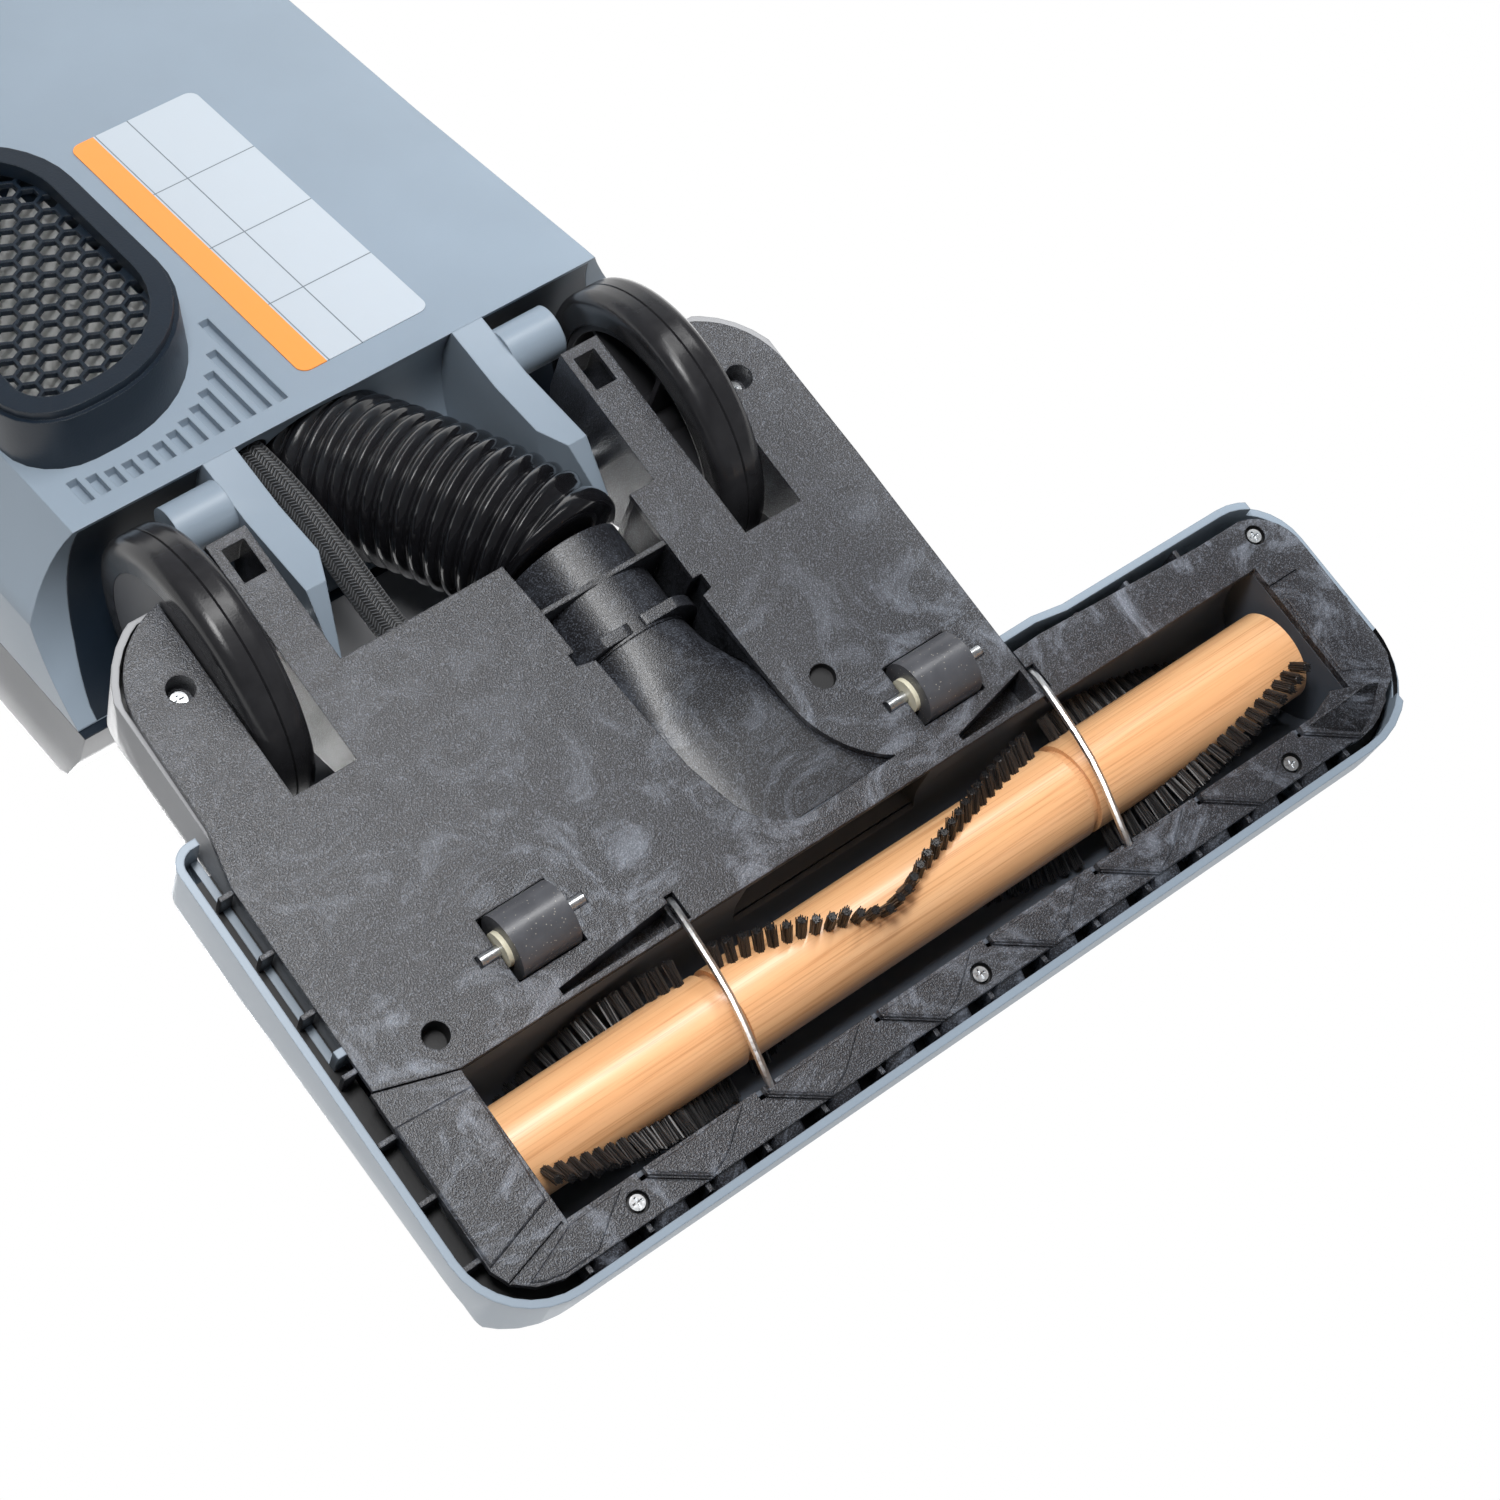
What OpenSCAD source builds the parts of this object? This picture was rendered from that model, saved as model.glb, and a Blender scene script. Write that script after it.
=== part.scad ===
// Upright vacuum cleaner, laid back on its two rear wheels with its offset brush head on the floor.
// +Z is up, the brush is at -Y, the body leans back to +Y, and the short overhang is at +X.
// Head parts are drawn over the sole: z = 0 is its underside and y = 0 the rear lip of the brush slot.
// Body parts are drawn over the hinge line: +Y runs up the body and +Z points out of its front.

/* [Stance] */
// Angle of the body to the sole when it is laid back
recline = 21.5; // [18:0.5:25]
// Angle of the sole to the floor, nose down
sole_tilt = 3.55; // [3.4:0.05:3.7]

/* [Brush head] */
// Overall width of the brush housing
head_w = 380.5; // [376:0.5:384]
// Reach of the short end of the housing from the centre of the wheels
short_end = 139.5; // [138:0.5:141]
// Depth of the housing in front of the lip
nose = 74; // [73:0.5:77]
// Height of the housing above its sole
head_h = 52; // [51:0.5:56]
// Thickness of the moulded plates
plate = 2.6; // [2:0.1:3]

/* [Brush] */
// Radius of the wooden roll
roll_r = 16; // [15:0.5:16.5]
// Radius to the tips of the tufts
tip_r = 24.8; // [24:0.2:25]
// Distance between neighbouring tufts
tuft_pitch = 8.6; // [6:0.2:12]
// Turn of a tuft row from its middle to each end of the roll, in degrees
tuft_turn = 157; // [120:1:170]

/* [Running gear] */
// Radius of a rear wheel
wheel_r = 50; // [49.5:0.5:50.5]
// Radius of a front roller
roller_r = 11; // [10.5:0.1:11]
// Radius of the pins that carry the wheels and the body
axle_r = 5; // [4:0.5:6]

/* [Body] */
// Half the width of the body
body_hw = 119; // [117:1:121]
// Distance from the hinge line to the top of the bag housing
body_top = 640; // [620:5:660]
// Distance from the hinge line to the end of the handle tube
tube_top = 1004; // [980:4:1020]
// Depth of the front of the body from the hinge line
body_front = 118; // [112:1:120]

/* [Hidden] */
$fn = 48;

blue = "#8799A8";
black = "#3E3E42";
charcoal = "#34363B";
grey = "#8E8F92";
zinc = "#C8CCD0";
rubber = "#1C1C1E";
wood = "#E0A86C";

gap = 0.3;
long_end = head_w - short_end;
roller_y = 24;
ride_h = roller_r - roller_y * sin(sole_tilt);
hinge_y = 154.5;
hinge = [hinge_y, (wheel_r - ride_h - hinge_y * sin(sole_tilt)) / cos(sole_tilt)];
centre_x = (long_end - short_end) / 2;
centre_y = -543.45;
left_w = 128.8;
right_w = 124.6;
cover_w = 128.6;
slot_x = [74.7, 97.4];
slot_y = 96.8;
arm_x = 60.2;
arm_y = 179.6;
rear_y = 127;
brush = [-26.6, 19];
chamber_r = 26.8;
open_x = [-216, 103.5];
duct_x = -25;
duct_r = 22.5;
vee_x = -36;
roller_x = [61.1, -96.6];
groove_x = [22, -119];

// Points along an arc about c from angle a0 to a1.
function arc(c, r, a0, a1, n = 8) =
    [for (i = [0:n]) let (a = a0 + (a1 - a0) * i / n) [c[0] + r * cos(a), c[1] + r * sin(a)]];
function mirrored(pts) = [for (i = [len(pts) - 1:-1:0]) [-pts[i][0], pts[i][1]]];
function rounded(x0, x1, y0, y1, r, n = 6) =
    concat(arc([x0 + r, y0 + r], r, 180, 270, n), arc([x1 - r, y0 + r], r, 270, 360, n),
        arc([x1 - r, y1 - r], r, 0, 90, n), arc([x0 + r, y1 - r], r, 90, 180, n));

module in_head() translate([centre_x, centre_y, ride_h]) rotate([sole_tilt, 0, 0]) children();
module in_body() in_head() translate([0, hinge[0], hinge[1]]) rotate([recline, 0, 0]) children();
// Outline in (y, z) drawn out along x from x0 to x1.
module along_x(pts, x0, x1) translate([x0, 0, 0]) rotate([90, 0, 90]) linear_extrude(x1 - x0) polygon(pts);
// Outline in (x, z) drawn out along y from y0 to y1.
module along_y(pts, y0, y1) translate([0, y1, 0]) rotate([90, 0, 0]) linear_extrude(y1 - y0) polygon(pts);
module slab(pts, z0, z1) translate([0, 0, z0]) linear_extrude(z1 - z0) polygon(pts);
module rod_x(c, r, x0, x1) translate([x0, c[0], c[1]]) rotate([0, 90, 0]) cylinder(r = r, h = x1 - x0);
// Solid with the given plan, side view and end view.
module block3(plan, side, end) intersection() {
    slab(plan, -150, 200);
    along_x(side, -300, 300);
    along_y(end, -150, 800);
}

// ---- Head, over the sole ----

fender_c = [91.6, 138.8];
// Chassis outline with the wheel slots open to the rear; w is the half width on that side.
function half_plan(w, lip, seam) = concat([lip, [w, seam], [w, 82], [124.6, 102]], arc(fender_c, 32.3, 0, 78, 10),
    [[slot_x[1], 171], [slot_x[1], slot_y], [slot_x[0], slot_y], [slot_x[0], arm_y],
     [arm_x, arm_y], [arm_x, rear_y]]);
trench = concat([[-0.4, rear_y + 9], [-0.4, 125.6], [-1.9, 110], [-2.8, 91.5], [-0.6, 91.5], [-0.6, 87],
    [-7, 85.6], [-8.6, 64], [-11, 41]], arc([-38, 32], 24, -10, -75, 6),
    arc([-92, 44], 41, -57, 0, 8), [[-50.3, 57], [-49.6, 86], [-53.6, 87], [-53.6, 92.5], [-50.3, 92.5],
     [-50.3, rear_y + 9]]);
module sole_outline() difference() {
    polygon(concat([[-right_w, 0]], half_plan(left_w, [103.3, 0.3], 8.4),
        mirrored(half_plan(right_w, [right_w, 0.3], 14.5))));
    polygon(trench);
    for (s = [-1, 1]) translate([s * 67.1 - 4.1, 163]) square([8.2, 13]);
    for (p = boss_at) translate([p[0], p[1]]) circle(r = 4.4);
    for (s = [-1, 1]) translate([s * 106.8, 143.4]) circle(r = 4.6);
    for (x = roller_x) {
        translate([x - 12.6, roller_y - 11.6]) square([25.2, 23.2]);
        translate([x - 19.8, roller_y - 2.3]) square([39.6, 4.6]);
    }
    for (w = wedges) polygon(w);
    translate([guards[0][0] - 1.7, 1.2]) square([3.4, 9.8]);
}
// Blind bosses of the plate: x, y and height.
boss_at = [[103.8, 12.5, 8], [-66, 43.5, 3]];
wedges = [[[64.9, 2.2], [64.9, 4.6], [21, 8.9], [21, 2.2]],
    [[-91.5, 2.2], [-91.5, 4.4], [-123, 11.5], [-123, 2.2]]];
arm_side = concat([[98, plate - 0.1], [arm_y, plate - 0.1], [arm_y, 20]], arc(hinge, 24.5, -12, 140),
    [[120, 34], [98, 22]]);
fender_side = concat([[98, plate - 0.1], [167, plate - 0.1]], arc(hinge, 15, -20, 140),
    [[120, 34], [98, 22]]);
module axle_wall(side, x0, x1) difference() {
    along_x(side, x0, x1);
    rod_x(hinge, axle_r + 0.05, x0 - 1, x1 + 1);
}
module base_plate() color(black) in_head() {
    linear_extrude(plate) sole_outline();
    for (s = [-1, 1]) {
        axle_wall(arm_side, min(s * arm_x, s * (arm_x + 2.4)), max(s * arm_x, s * (arm_x + 2.4)));
        axle_wall(arm_side, min(s * 72.2, s * slot_x[0]), max(s * 72.2, s * slot_x[0]));
        axle_wall(fender_side, min(s * slot_x[1], s * 100.4), max(s * slot_x[1], s * 100.4));
        translate([s > 0 ? slot_x[0] : -slot_x[1], slot_y - 2.4, plate]) cube([22.7, 2.4, 45]);
        translate([s > 0 ? slot_x[0] - 13 : -slot_x[0], arm_y - 2.4, plate]) cube([13, 2.4, 14]);
    }
    for (y = [16.6:21.6:82]) along_y([[left_w - 0.6, 1.5], [left_w + 4.6, 1.5], [left_w + 4.6, 11.9],
        [left_w + 0.1, 11.9], [left_w + 0.1, plate], [left_w - 0.6, plate]], y - 0.8, y + 0.8);
    for (x = roller_x) for (s = [-1, 1]) difference() {
        translate([x + s * 16.2 - 3.5, roller_y - 5, 0]) cube([7, 10, 7.4]);
        rod_x([roller_y, 0], 1.95, x - 20, x + 20);
    }
    difference() {
        union() {
            for (p = boss_at) translate([p[0], p[1], plate - 0.1]) cylinder(r = 5.6, h = p[2]);
            for (w = wedges)
                translate([w[2][0] - 1.5, 2.1, plate - 0.1]) cube([w[0][0] - w[2][0] + 3, 11, 13]);
            for (s = [-1, 1]) translate([s * 106.8, 143.4, plate - 0.1]) cylinder(r = 6.2, h = 11);
        }
        for (p = boss_at) translate([p[0], p[1], 0]) cylinder(r = 4.4, h = p[2]);
        for (w = wedges) slab(w, 0, 13);
        translate([guards[0][0] - 1.7, 1.2, 0]) cube([3.4, 9.8, 5.5]);
        for (s = [-1, 1]) translate([s * 106.8, 143.4, 0]) {
            cylinder(r = 4.6, h = 10);
            cylinder(r = 1.5, h = 15);
        }
    }
    rear_wall();
}
// Upright wall behind the fixed pieces, notched for the duct and the motor lead.
module rear_wall() difference() {
    translate([-arm_x - 0.5, rear_y - 2.4, plate - 0.1]) cube([2 * arm_x + 1, 2.4, 46]);
    translate([duct_x - 26.7, rear_y - 6, 0]) cube([53.4, 10, 50]);
    translate([35.3, rear_y + 2, 14.3]) rotate([90, 0, 0]) cylinder(r = 6.6, h = 8);
}
// Walls and roof of the recess that holds the duct, set just outside its outline.
module duct_well() color(black) in_head() difference() {
    union() {
        translate([0, 0, plate + 0.05]) linear_extrude(46.6) difference() {
            offset(2.4) polygon(trench);
            offset(0.6) polygon(trench);
            translate([-90, rear_y - 2.5]) square([120, 40]);
            translate([-100, -10]) square([120, 33]);
        }
        translate([duct_x - 28, 28, plate + 46.6]) cube([56, rear_y - 31, 2]);
    }
    translate([-2, 80, plate + 44]) cube([10, 10, 10]);
    translate([-90, 10, 43.8]) cube([120, 17, 10]);
    loft([for (k = [9:-1:-1]) duct_at(k / 8, -0.4)]);
}

// Ring of flat sole round the brush slot, left open where the chassis lip closes it.
module sole_ring() {
    polygon([[left_w + 1, 8], [103.6, -0.2], [103.6, -67.5], [114, -67.5], [122, -65], [128, -60],
        [130.6, -54]]);
    polygon(concat([[105.5, -53.5], [105.5, -67.5], [-204, -67.5]], arc([-207, -42], 26, 277, 225, 5),
        [[-231.5, -57], [-235.8, -49.5], [-236.6, -42], [-236.6, -5.5]], arc([-219, -3], 17.6, 172, 100, 6),
        [[-204, 14.4], [-137, 18], [-125.2, 17.6], [-125.2, -2], [-216, -2], [-216, -53.5]]));
}
chevron_x = [for (k = [0:6]) -190.5 + 44.6 * k];
module sole_frame() color(black) in_head() {
    difference() {
        linear_extrude(plate + 0.6) sole_ring();
        for (x = chevron_x) translate([0, 0, -0.01]) linear_extrude(1)
            polygon([[x + 0.1, -56], [x + 1.5, -56], [x - 15.6, -68], [x - 17.2, -68]]);
        for (x = chevron_x) translate([x - 1.4, -56.6, -0.01]) cube([2.9, 3.6, 4]);
        for (p = sole_screw_at) translate([p[0], p[1], -0.01]) {
            cylinder(r = 3.6, h = 2.41);
            cylinder(r = 1.55, h = 5);
        }
        for (g = guards) {
            translate([g[1] - 2, -56, -0.01]) cube([4, 4.4, 2.5]);
            translate([g[0] - 1.7, 1.4, -0.01]) cube([3.4, 9.6, 4]);
        }
        translate([open_x[0] - 12, -10.4, -0.01]) cube([12.6, 0.9, 0.8]);
        slab([[105, -53.2], [105, -54.1], [130, -60.9], [130, -60]], -0.01, 1.2);
    }
    for (x = [-201.5:21.9:110]) translate([x, -70.3, 2]) cube([1.6, 5, 12]);
    for (x = [-197.6:21.9:-130]) translate([x, 13, 2]) cube([1.6, 5, 12]);
    for (p = [[-236.7, -49.8], [-238.2, -27.2], [-237.9, -4.4]])
        translate([p[0], p[1], 2]) cube([3, 1.6, 12]);
    for (y = [-49.8, -27.2, -6.3]) translate([129.3, y, 3]) cube([6.6, 1.6, 12]);
}
sole_screw_at = [[-224, 7.5], [-181, -62], [-48.2, -62], [83.1, -61]];
guards = [[19.4, 28.8], [-126.8, -115.9]];

// Plan of the brush housing, drawn in by d all round.
function shell_plan(d) = concat(arc([131.9, 93.4], 7.6 - d, 90, 0), arc([111.5, -46], 28 - d, 0, -90),
    arc([-long_end + 33, -nose + 33.5], 33 - d, 270, 180), arc([-long_end + 23, -1], 22.6 - d, 180, 90),
    [[-150, 22.4 - d], [-138, 24.4 - d], [left_w + 0.4 + d, 24.4 - d], [left_w + 0.4 + d, 101 - d]]);
function shell_side(d) = concat([[-nose + d, d > 0 ? -5 : 0], [-nose + d, 12]],
    arc([-nose + 20, 12], 20 - d, 180, 130), [[-39.5 + d * 0.4, 50.3 - d], [-30, head_h - d], [26, head_h + 4 - d],
    [66, head_h - d], [80, 38 - d], [102 - d, 16 - d], [102 - d, d > 0 ? -5 : 0]]);
function shell_end(d) = concat([[short_end - d, d > 0 ? -5 : 0]], arc([short_end - 14, 23.5], 14 - d, 0, 30),
    [[130.7 - d * 0.8, 44 - d * 0.5], [116, 52 - d], [70, 60 - d], [-150, 60 - d]],
    arc([-long_end + 24, 26], 24 - d, 110, 180),
    [[-long_end + d, d > 0 ? -5 : 0]]);
// The end wall over the short end draws in towards the nose, above the sole's edge.
module shell_form(d) intersection() {
    block3(shell_plan(d), shell_side(d), shell_end(d));
    translate([short_end, 60, 0]) rotate(-1.5) along_y(concat([[6 - d, -6], [6 - d, 6]],
        arc([-14, 23.5], 14 - d, 0, 30),
        [[-8.8 - d * 0.8, 44 - d * 0.5], [-22, 54 - d], [-400, 80], [-400, -6]]), -160, 120);
}
module head_shell() color(blue) in_head() difference() {
    shell_form(0);
    shell_form(2.6);
    translate([left_w, 24.5, -1]) cube([4, 74, 13.2]);
    translate([-long_end - 1, -nose - 1, -1]) cube([13, nose + 30, 5.5]);
    translate([-right_w, 20, -1]) cube([left_w + right_w, 6, 7]);
    intersection() {
        translate([-right_w, 20, 0]) cube([left_w + right_w, 6, 45]);
        along_y(cover_end(2.4), 19, 27);
    }
}

function chamber_at(r, z0) = concat([[brush[0] - r, z0], [brush[0] + r, z0]], arc(brush, r, 0, 180, 24));
// Trough over the roll, with the belt's case at its short end and the throat of the duct behind it.
module brush_chamber() color(grey) in_head() difference() {
    union() {
        along_x(chamber_at(chamber_r + 1.6, 3.4), open_x[0] - 1.6, open_x[1] + 1.6);
        along_x(chamber_at(belt_case_r + 1.6, 3.4), open_x[1] + 1.5, 129);
        translate([-80.4, 0, plate + 0.1]) cube([78.8, 9.7, 30]);
    }
    along_x(chamber_at(chamber_r, 1), open_x[0], open_x[1]);
    along_x(chamber_at(belt_case_r, 1), open_x[1] + 1.6, 127.4);
    rod_x(brush, 9, open_x[0] - 3, 129.5);
    along_y([[125.5, 41], [129.5, 41], [129.5, 36.8]], -60, 0);
    translate([-78, -5, 4]) cube([74, 16, 26]);
    translate([belt_x[0] - 1.3, -14, 7]) cube([belt_x[1] - belt_x[0] + 2.6, 16, 30]);
}
belt_case_r = 19.4;

function cover_plan(d) = let (half = concat([[cover_w - d, 25], [cover_w - d, 128]],
        arc(fender_c, 35.8 - d, 0, 78, 8), [[slot_x[0], 173 - d], [slot_x[0], rear_y + 1]]))
    concat(half, mirrored(half));
function cover_side(d) = concat([[24.6, d > 0 ? 0 : plate + 0.1], [24.6, 55 - d], [60, 60 - d]],
    arc(hinge, 54.5 - d, 146, 66, 10), [[174.6 - d, 14], [170.6 - d, d > 0 ? 0 : plate + 0.1]]);
function cover_end(d) = let (half = [[125.4 - d, d > 0 ? 0 : plate + 0.1], [cover_w - d, 12], [127 - d, 22],
    [104 - d, 88]]) concat(half, mirrored(half));
module chassis_cover() color(grey) in_head() {
    difference() {
        block3(cover_plan(0), cover_side(0), cover_end(0));
        block3(cover_plan(2.4), cover_side(2.4), cover_end(2.4));
        for (s = [-1, 1]) translate([s * 86 - 12.4, slot_y - 3, 0]) cube([24.8, 120, 90]);
        for (s = [-1, 1]) along_x(concat([[98, 0], [200, 0], [200, hinge[1] + 10]],
            arc(hinge, 25, 0, 180), [[98, hinge[1]]]), min(s * arm_x, s * 101), max(s * arm_x, s * 101));
    }
    // Tongue of the roof that follows the recline axis between the forks.
    along_x(concat(arc(hinge, 54.5, 71, 125, 12), arc(hinge, 52.1, 125, 71, 12)), -41, 41);
}

// Closed ring of points for one section of the suction duct.
function duct_ring(c, hw, z0, z1, p, y, n = 28) = [for (i = [0:n - 1]) let (a = 360 * i / n,
    u = cos(a), v = sin(a), k = 1 / pow(pow(abs(u), p) + pow(abs(v), p), 1 / p))
    [c + hw * k * u, y, (z0 + z1) / 2 + (z1 - z0) / 2 * k * v]];
module loft(rings) {
    n = len(rings[0]);
    m = len(rings);
    polyhedron([for (r = rings) each r], concat([[for (i = [n - 1:-1:0]) i]],
        [for (j = [0:m - 2]) for (i = [0:n - 1])
            [j * n + i, j * n + (i + 1) % n, (j + 1) * n + (i + 1) % n, (j + 1) * n + i]],
        [[for (i = [0:n - 1]) (m - 1) * n + i]]));
}
function ease(t) = let (u = min(max(t, 0), 1)) u * u * (3 - 2 * u);
// The duct flares from a round cuff to a flat mouth behind the brush; t runs from cuff to mouth.
function duct_at(t, d) = let (s = ease(t)) duct_ring(duct_x - 16 * s, 21.8 + 14 * s - d,
    0.1 + 2.65 * ease((t - 0.15) / 0.35) + d, 44 - 11 * s - d, 2 + 4 * s, 85.8 - 76 * t);
module suction_duct() color(black) in_head() difference() {
    loft([for (k = [8:-1:0]) duct_at(k / 8, 0)]);
    loft([for (k = [9:-1:-1]) duct_at(k / 8, 2)]);
}
module duct_cuff() color(black) in_head() {
    difference() {
        translate([duct_x, 124.4, duct_r - 0.4]) rotate([90, 0, 0]) cylinder(r = duct_r - 0.4, h = 38.4);
        translate([duct_x, 127, duct_r - 0.4]) rotate([90, 0, 0]) cylinder(r = duct_r - 2.4, h = 42);
    }
    difference() {
        translate([-50, 106.6, 0]) cube([48, 1.8, 24]);
        translate([duct_x, 109, duct_r - 0.4]) rotate([90, 0, 0]) cylinder(r = duct_r - 1, h = 4);
    }
}
module duct_collar() color(black) in_head() difference() {
    translate([duct_x - 1.4, 91, duct_r]) rotate([90, 0, 0]) cylinder(r = 26.4, h = 4);
    translate([duct_x, 92, duct_r - 0.4]) rotate([90, 0, 0]) cylinder(r = duct_r - 0.3, h = 6);
    translate([-80, 85, -6]) cube([110, 8, 6]);
}

function guard_path(g) = [[g[0], 9.5, 2], [g[0] + 1.4, 1.5, -1.6], [(g[0] + g[1]) / 2, -26, -4.6],
    [g[1] - 0.8, -48.5, -1.6], [g[1], -55.2, 0.9]];
module wire_guard(g) tube_along(spline(guard_path(g), 3), 1.3, 8);
module wire_guard_left() color(zinc) in_head() wire_guard(guards[0]);
module wire_guard_right() color(zinc) in_head() wire_guard(guards[1]);

module pan_screw(p, z, r, long) translate([p[0], p[1], z]) {
    difference() {
        cylinder(r = r, h = 1.8);
        for (a = [0, 90]) rotate(a) translate([-1.7, -0.35, -0.1]) cube([3.4, 0.7, 1.2]);
    }
    translate([0, 0, 1.8]) cylinder(r = r * 0.5, h = long);
}
module case_screws() color(zinc) in_head() {
    for (p = sole_screw_at) pan_screw(p, 0.6, 2.5, 4);
    for (s = [-1, 1]) pan_screw([s * 106.8, 143.4], 8.2, 2.8, 4);
}

module axle_left() color(zinc) in_head() rod_x(hinge, axle_r, 44, 112);
module axle_right() color(zinc) in_head() rod_x(hinge, axle_r, -112, -44);

// Wheels turn about x: the profiles are drawn as [radius, distance out along the axle].
wheel_x = 88;
module turned(s, pts) translate([s * wheel_x, hinge[0], hinge[1]]) rotate([0, 90, 0])
    mirror([0, 0, s > 0 ? 0 : 1]) rotate_extrude($fn = 72) polygon(pts);
tyre_half = concat([[wheel_r, 0.4], [wheel_r, 4]], arc([wheel_r - 4.6, 4.2], 4.6, 0, 80, 4), [[39.4, 8.9]]);
module wheel_tyre(s) turned(s, concat([[wheel_r - 0.7, 0]], tyre_half, [[39.4, -8.9]],
    [for (i = [len(tyre_half) - 2:-1:0]) [tyre_half[i][0], -tyre_half[i][1]]]));
module wheel_hub(s) {
    turned(s, [[axle_r + 0.05, 8.8], [39.3, 8.8], [39.3, -8], [36.9, -8], [36.9, 5.6], [10, 5.6], [10, -8.8],
        [axle_r + 0.05, -8.8]]);
    for (a = [30:60:330]) translate([s * (wheel_x - 0.6), hinge[0], hinge[1]]) rotate([a, 0, 0])
        translate([-6.4, 8, -0.9]) cube([12.8, 29.5, 1.8]);
}
module wheel_tyre_left() color(rubber) in_head() wheel_tyre(1);
module wheel_tyre_right() color(rubber) in_head() wheel_tyre(-1);
module wheel_hub_left() color(charcoal) in_head() wheel_hub(1);
module wheel_hub_right() color(charcoal) in_head() wheel_hub(-1);

module roller_pin(x) rod_x([roller_y, 0], 1.9, x - 19, x + 19);
module roller_tyre(x) difference() {
    rod_x([roller_y, 0], roller_r, x - 10.6, x + 10.6);
    rod_x([roller_y, 0], 6, x - 12, x + 12);
}
module roller_core(x) difference() {
    rod_x([roller_y, 0], 5.95, x - 12.2, x + 12.2);
    rod_x([roller_y, 0], 1.95, x - 14, x + 14);
}
module roller_pin_left() color(zinc) in_head() roller_pin(roller_x[0]);
module roller_pin_right() color(zinc) in_head() roller_pin(roller_x[1]);
module roller_tyre_left() color(rubber) in_head() roller_tyre(roller_x[0]);
module roller_tyre_right() color(rubber) in_head() roller_tyre(roller_x[1]);
module roller_core_left() color("ivory") in_head() roller_core(roller_x[0]);
module roller_core_right() color("ivory") in_head() roller_core(roller_x[1]);

roll_x = [-212, 102.8];
belt_x = [107.5, 114.5];
motor_axis = [62, 30];
module brush_roll() color(wood) in_head() difference() {
    rod_x(brush, roll_r, roll_x[0], roll_x[1]);
    for (x = groove_x) difference() {
        rod_x(brush, roll_r + 1, x - 1.6, x + 1.6);
        rod_x(brush, roll_r - 1.8, x - 2, x + 2);
    }
    rod_x(brush, 4.9, roll_x[0] - 1, roll_x[0] + 22);
    rod_x(brush, 4.9, roll_x[1] - 22, roll_x[1] + 1);
}
tuft_x = [for (x = [-206:tuft_pitch:100]) if (min([for (g = groove_x) abs(x - g)]) > 4.3) x];
// Angle of a tuft from straight down towards the rear; the two rows are half a turn apart.
function tuft_angle(x) = -10 + tuft_turn * (x > vee_x ? (x - vee_x) / 142 : (vee_x - x) / 170);
module bristle_rows() color(rubber) in_head() for (x = tuft_x) for (half = [0, 180])
    translate([x, brush[0], brush[1]]) rotate([180 + tuft_angle(x) + half, 0, 0])
        translate([0, 0, roll_r + 0.02]) cylinder(r = 1.5, h = tip_r - roll_r, $fn = 6);
module brush_stubs() color(zinc) in_head() {
    rod_x(brush, 4.85, roll_x[0] - 6, roll_x[0] + 20);
    rod_x(brush, 4.85, roll_x[1] - 20, belt_x[0] - 1);
    rod_x(brush, 11, belt_x[0] - 1, belt_x[1] + 1);
    rod_x(brush, 4.85, belt_x[1] + 1, 129);
}
module brush_bearings() color(zinc) in_head() for (x = [open_x[0] - 2, 126.8]) difference() {
    rod_x(brush, 8.9, x, x + 2.3);
    rod_x(brush, 4.9, x - 1, x + 3.3);
}
module brush_motor() color(charcoal) in_head() difference() {
    union() {
        rod_x(motor_axis, 21, 36, 98);
        rod_x(motor_axis, 9, 30, 102);
        translate([42, motor_axis[0] - 20, plate + 0.1]) cube([50, 40, 14]);
    }
    rod_x(motor_axis, 3.05, 29, 103);
}
module motor_pulley() color(zinc) in_head() {
    rod_x(motor_axis, 3, 32, belt_x[1] + 2.5);
    rod_x(motor_axis, 8, belt_x[0] - 1, belt_x[1] + 1);
}
// Outline of a belt round two circles, in (y, z).
function belt_pts(c1, r1, c2, r2) = let (v = c2 - c1, th = atan2(v[1], v[0]), a = acos((r1 - r2) / norm(v)))
    concat(arc(c1, r1, th + a, th + 360 - a, 16), arc(c2, r2, th - a, th + a, 16));
module drive_belt() color(rubber) in_head() difference() {
    along_x(belt_pts(brush, 13.2, motor_axis, 10.2), belt_x[0], belt_x[1]);
    along_x(belt_pts(brush, 11.3, motor_axis, 8.3), belt_x[0] - 1, belt_x[1] + 1);
}

// ---- Hose and lead between head and body ----

hose_r = 26.4;
hose_path = [[-25, 126.4, 22], [-24.6, 130.4, 22.3], [-23, 135, 23], [-17, 149, 26], [-9, 167, 32],
    [-1, 185, 40], [5.3, 199, 47.4], [7.8, 206.6, 51.5], [8, 210.3, 53]];
lead_path = [[50, 85.6, 12], [49.6, 88, 12], [44, 100, 12], [36, 119, 12.5], [35.5, 133, 16.5],
    [34.5, 150, 20], [33.5, 168, 23], [33, 184, 26], [33.5, 200, 29], [34.5, 213.5, 32]];
function unit(v) = v / norm(v);
function ring_at(p, dir, r, n) = let (side = unit(cross(dir, [0, 0, 1])), up = cross(side, dir))
    [for (i = [0:n - 1]) p + r * cos(360 * i / n) * side + r * sin(360 * i / n) * up];
function spline(pts, n) = let (m = len(pts) - 1) [for (j = [0:m * n]) let (i = min(floor(j / n), m - 1),
    t = j / n - i, p0 = pts[max(i - 1, 0)], p1 = pts[i], p2 = pts[i + 1], p3 = pts[min(i + 2, m)])
    0.5 * (2 * p1 + (p2 - p0) * t + (2 * p0 - 5 * p1 + 4 * p2 - p3) * t * t
        + (3 * p1 - p0 - 3 * p2 + p3) * t * t * t)];
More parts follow.
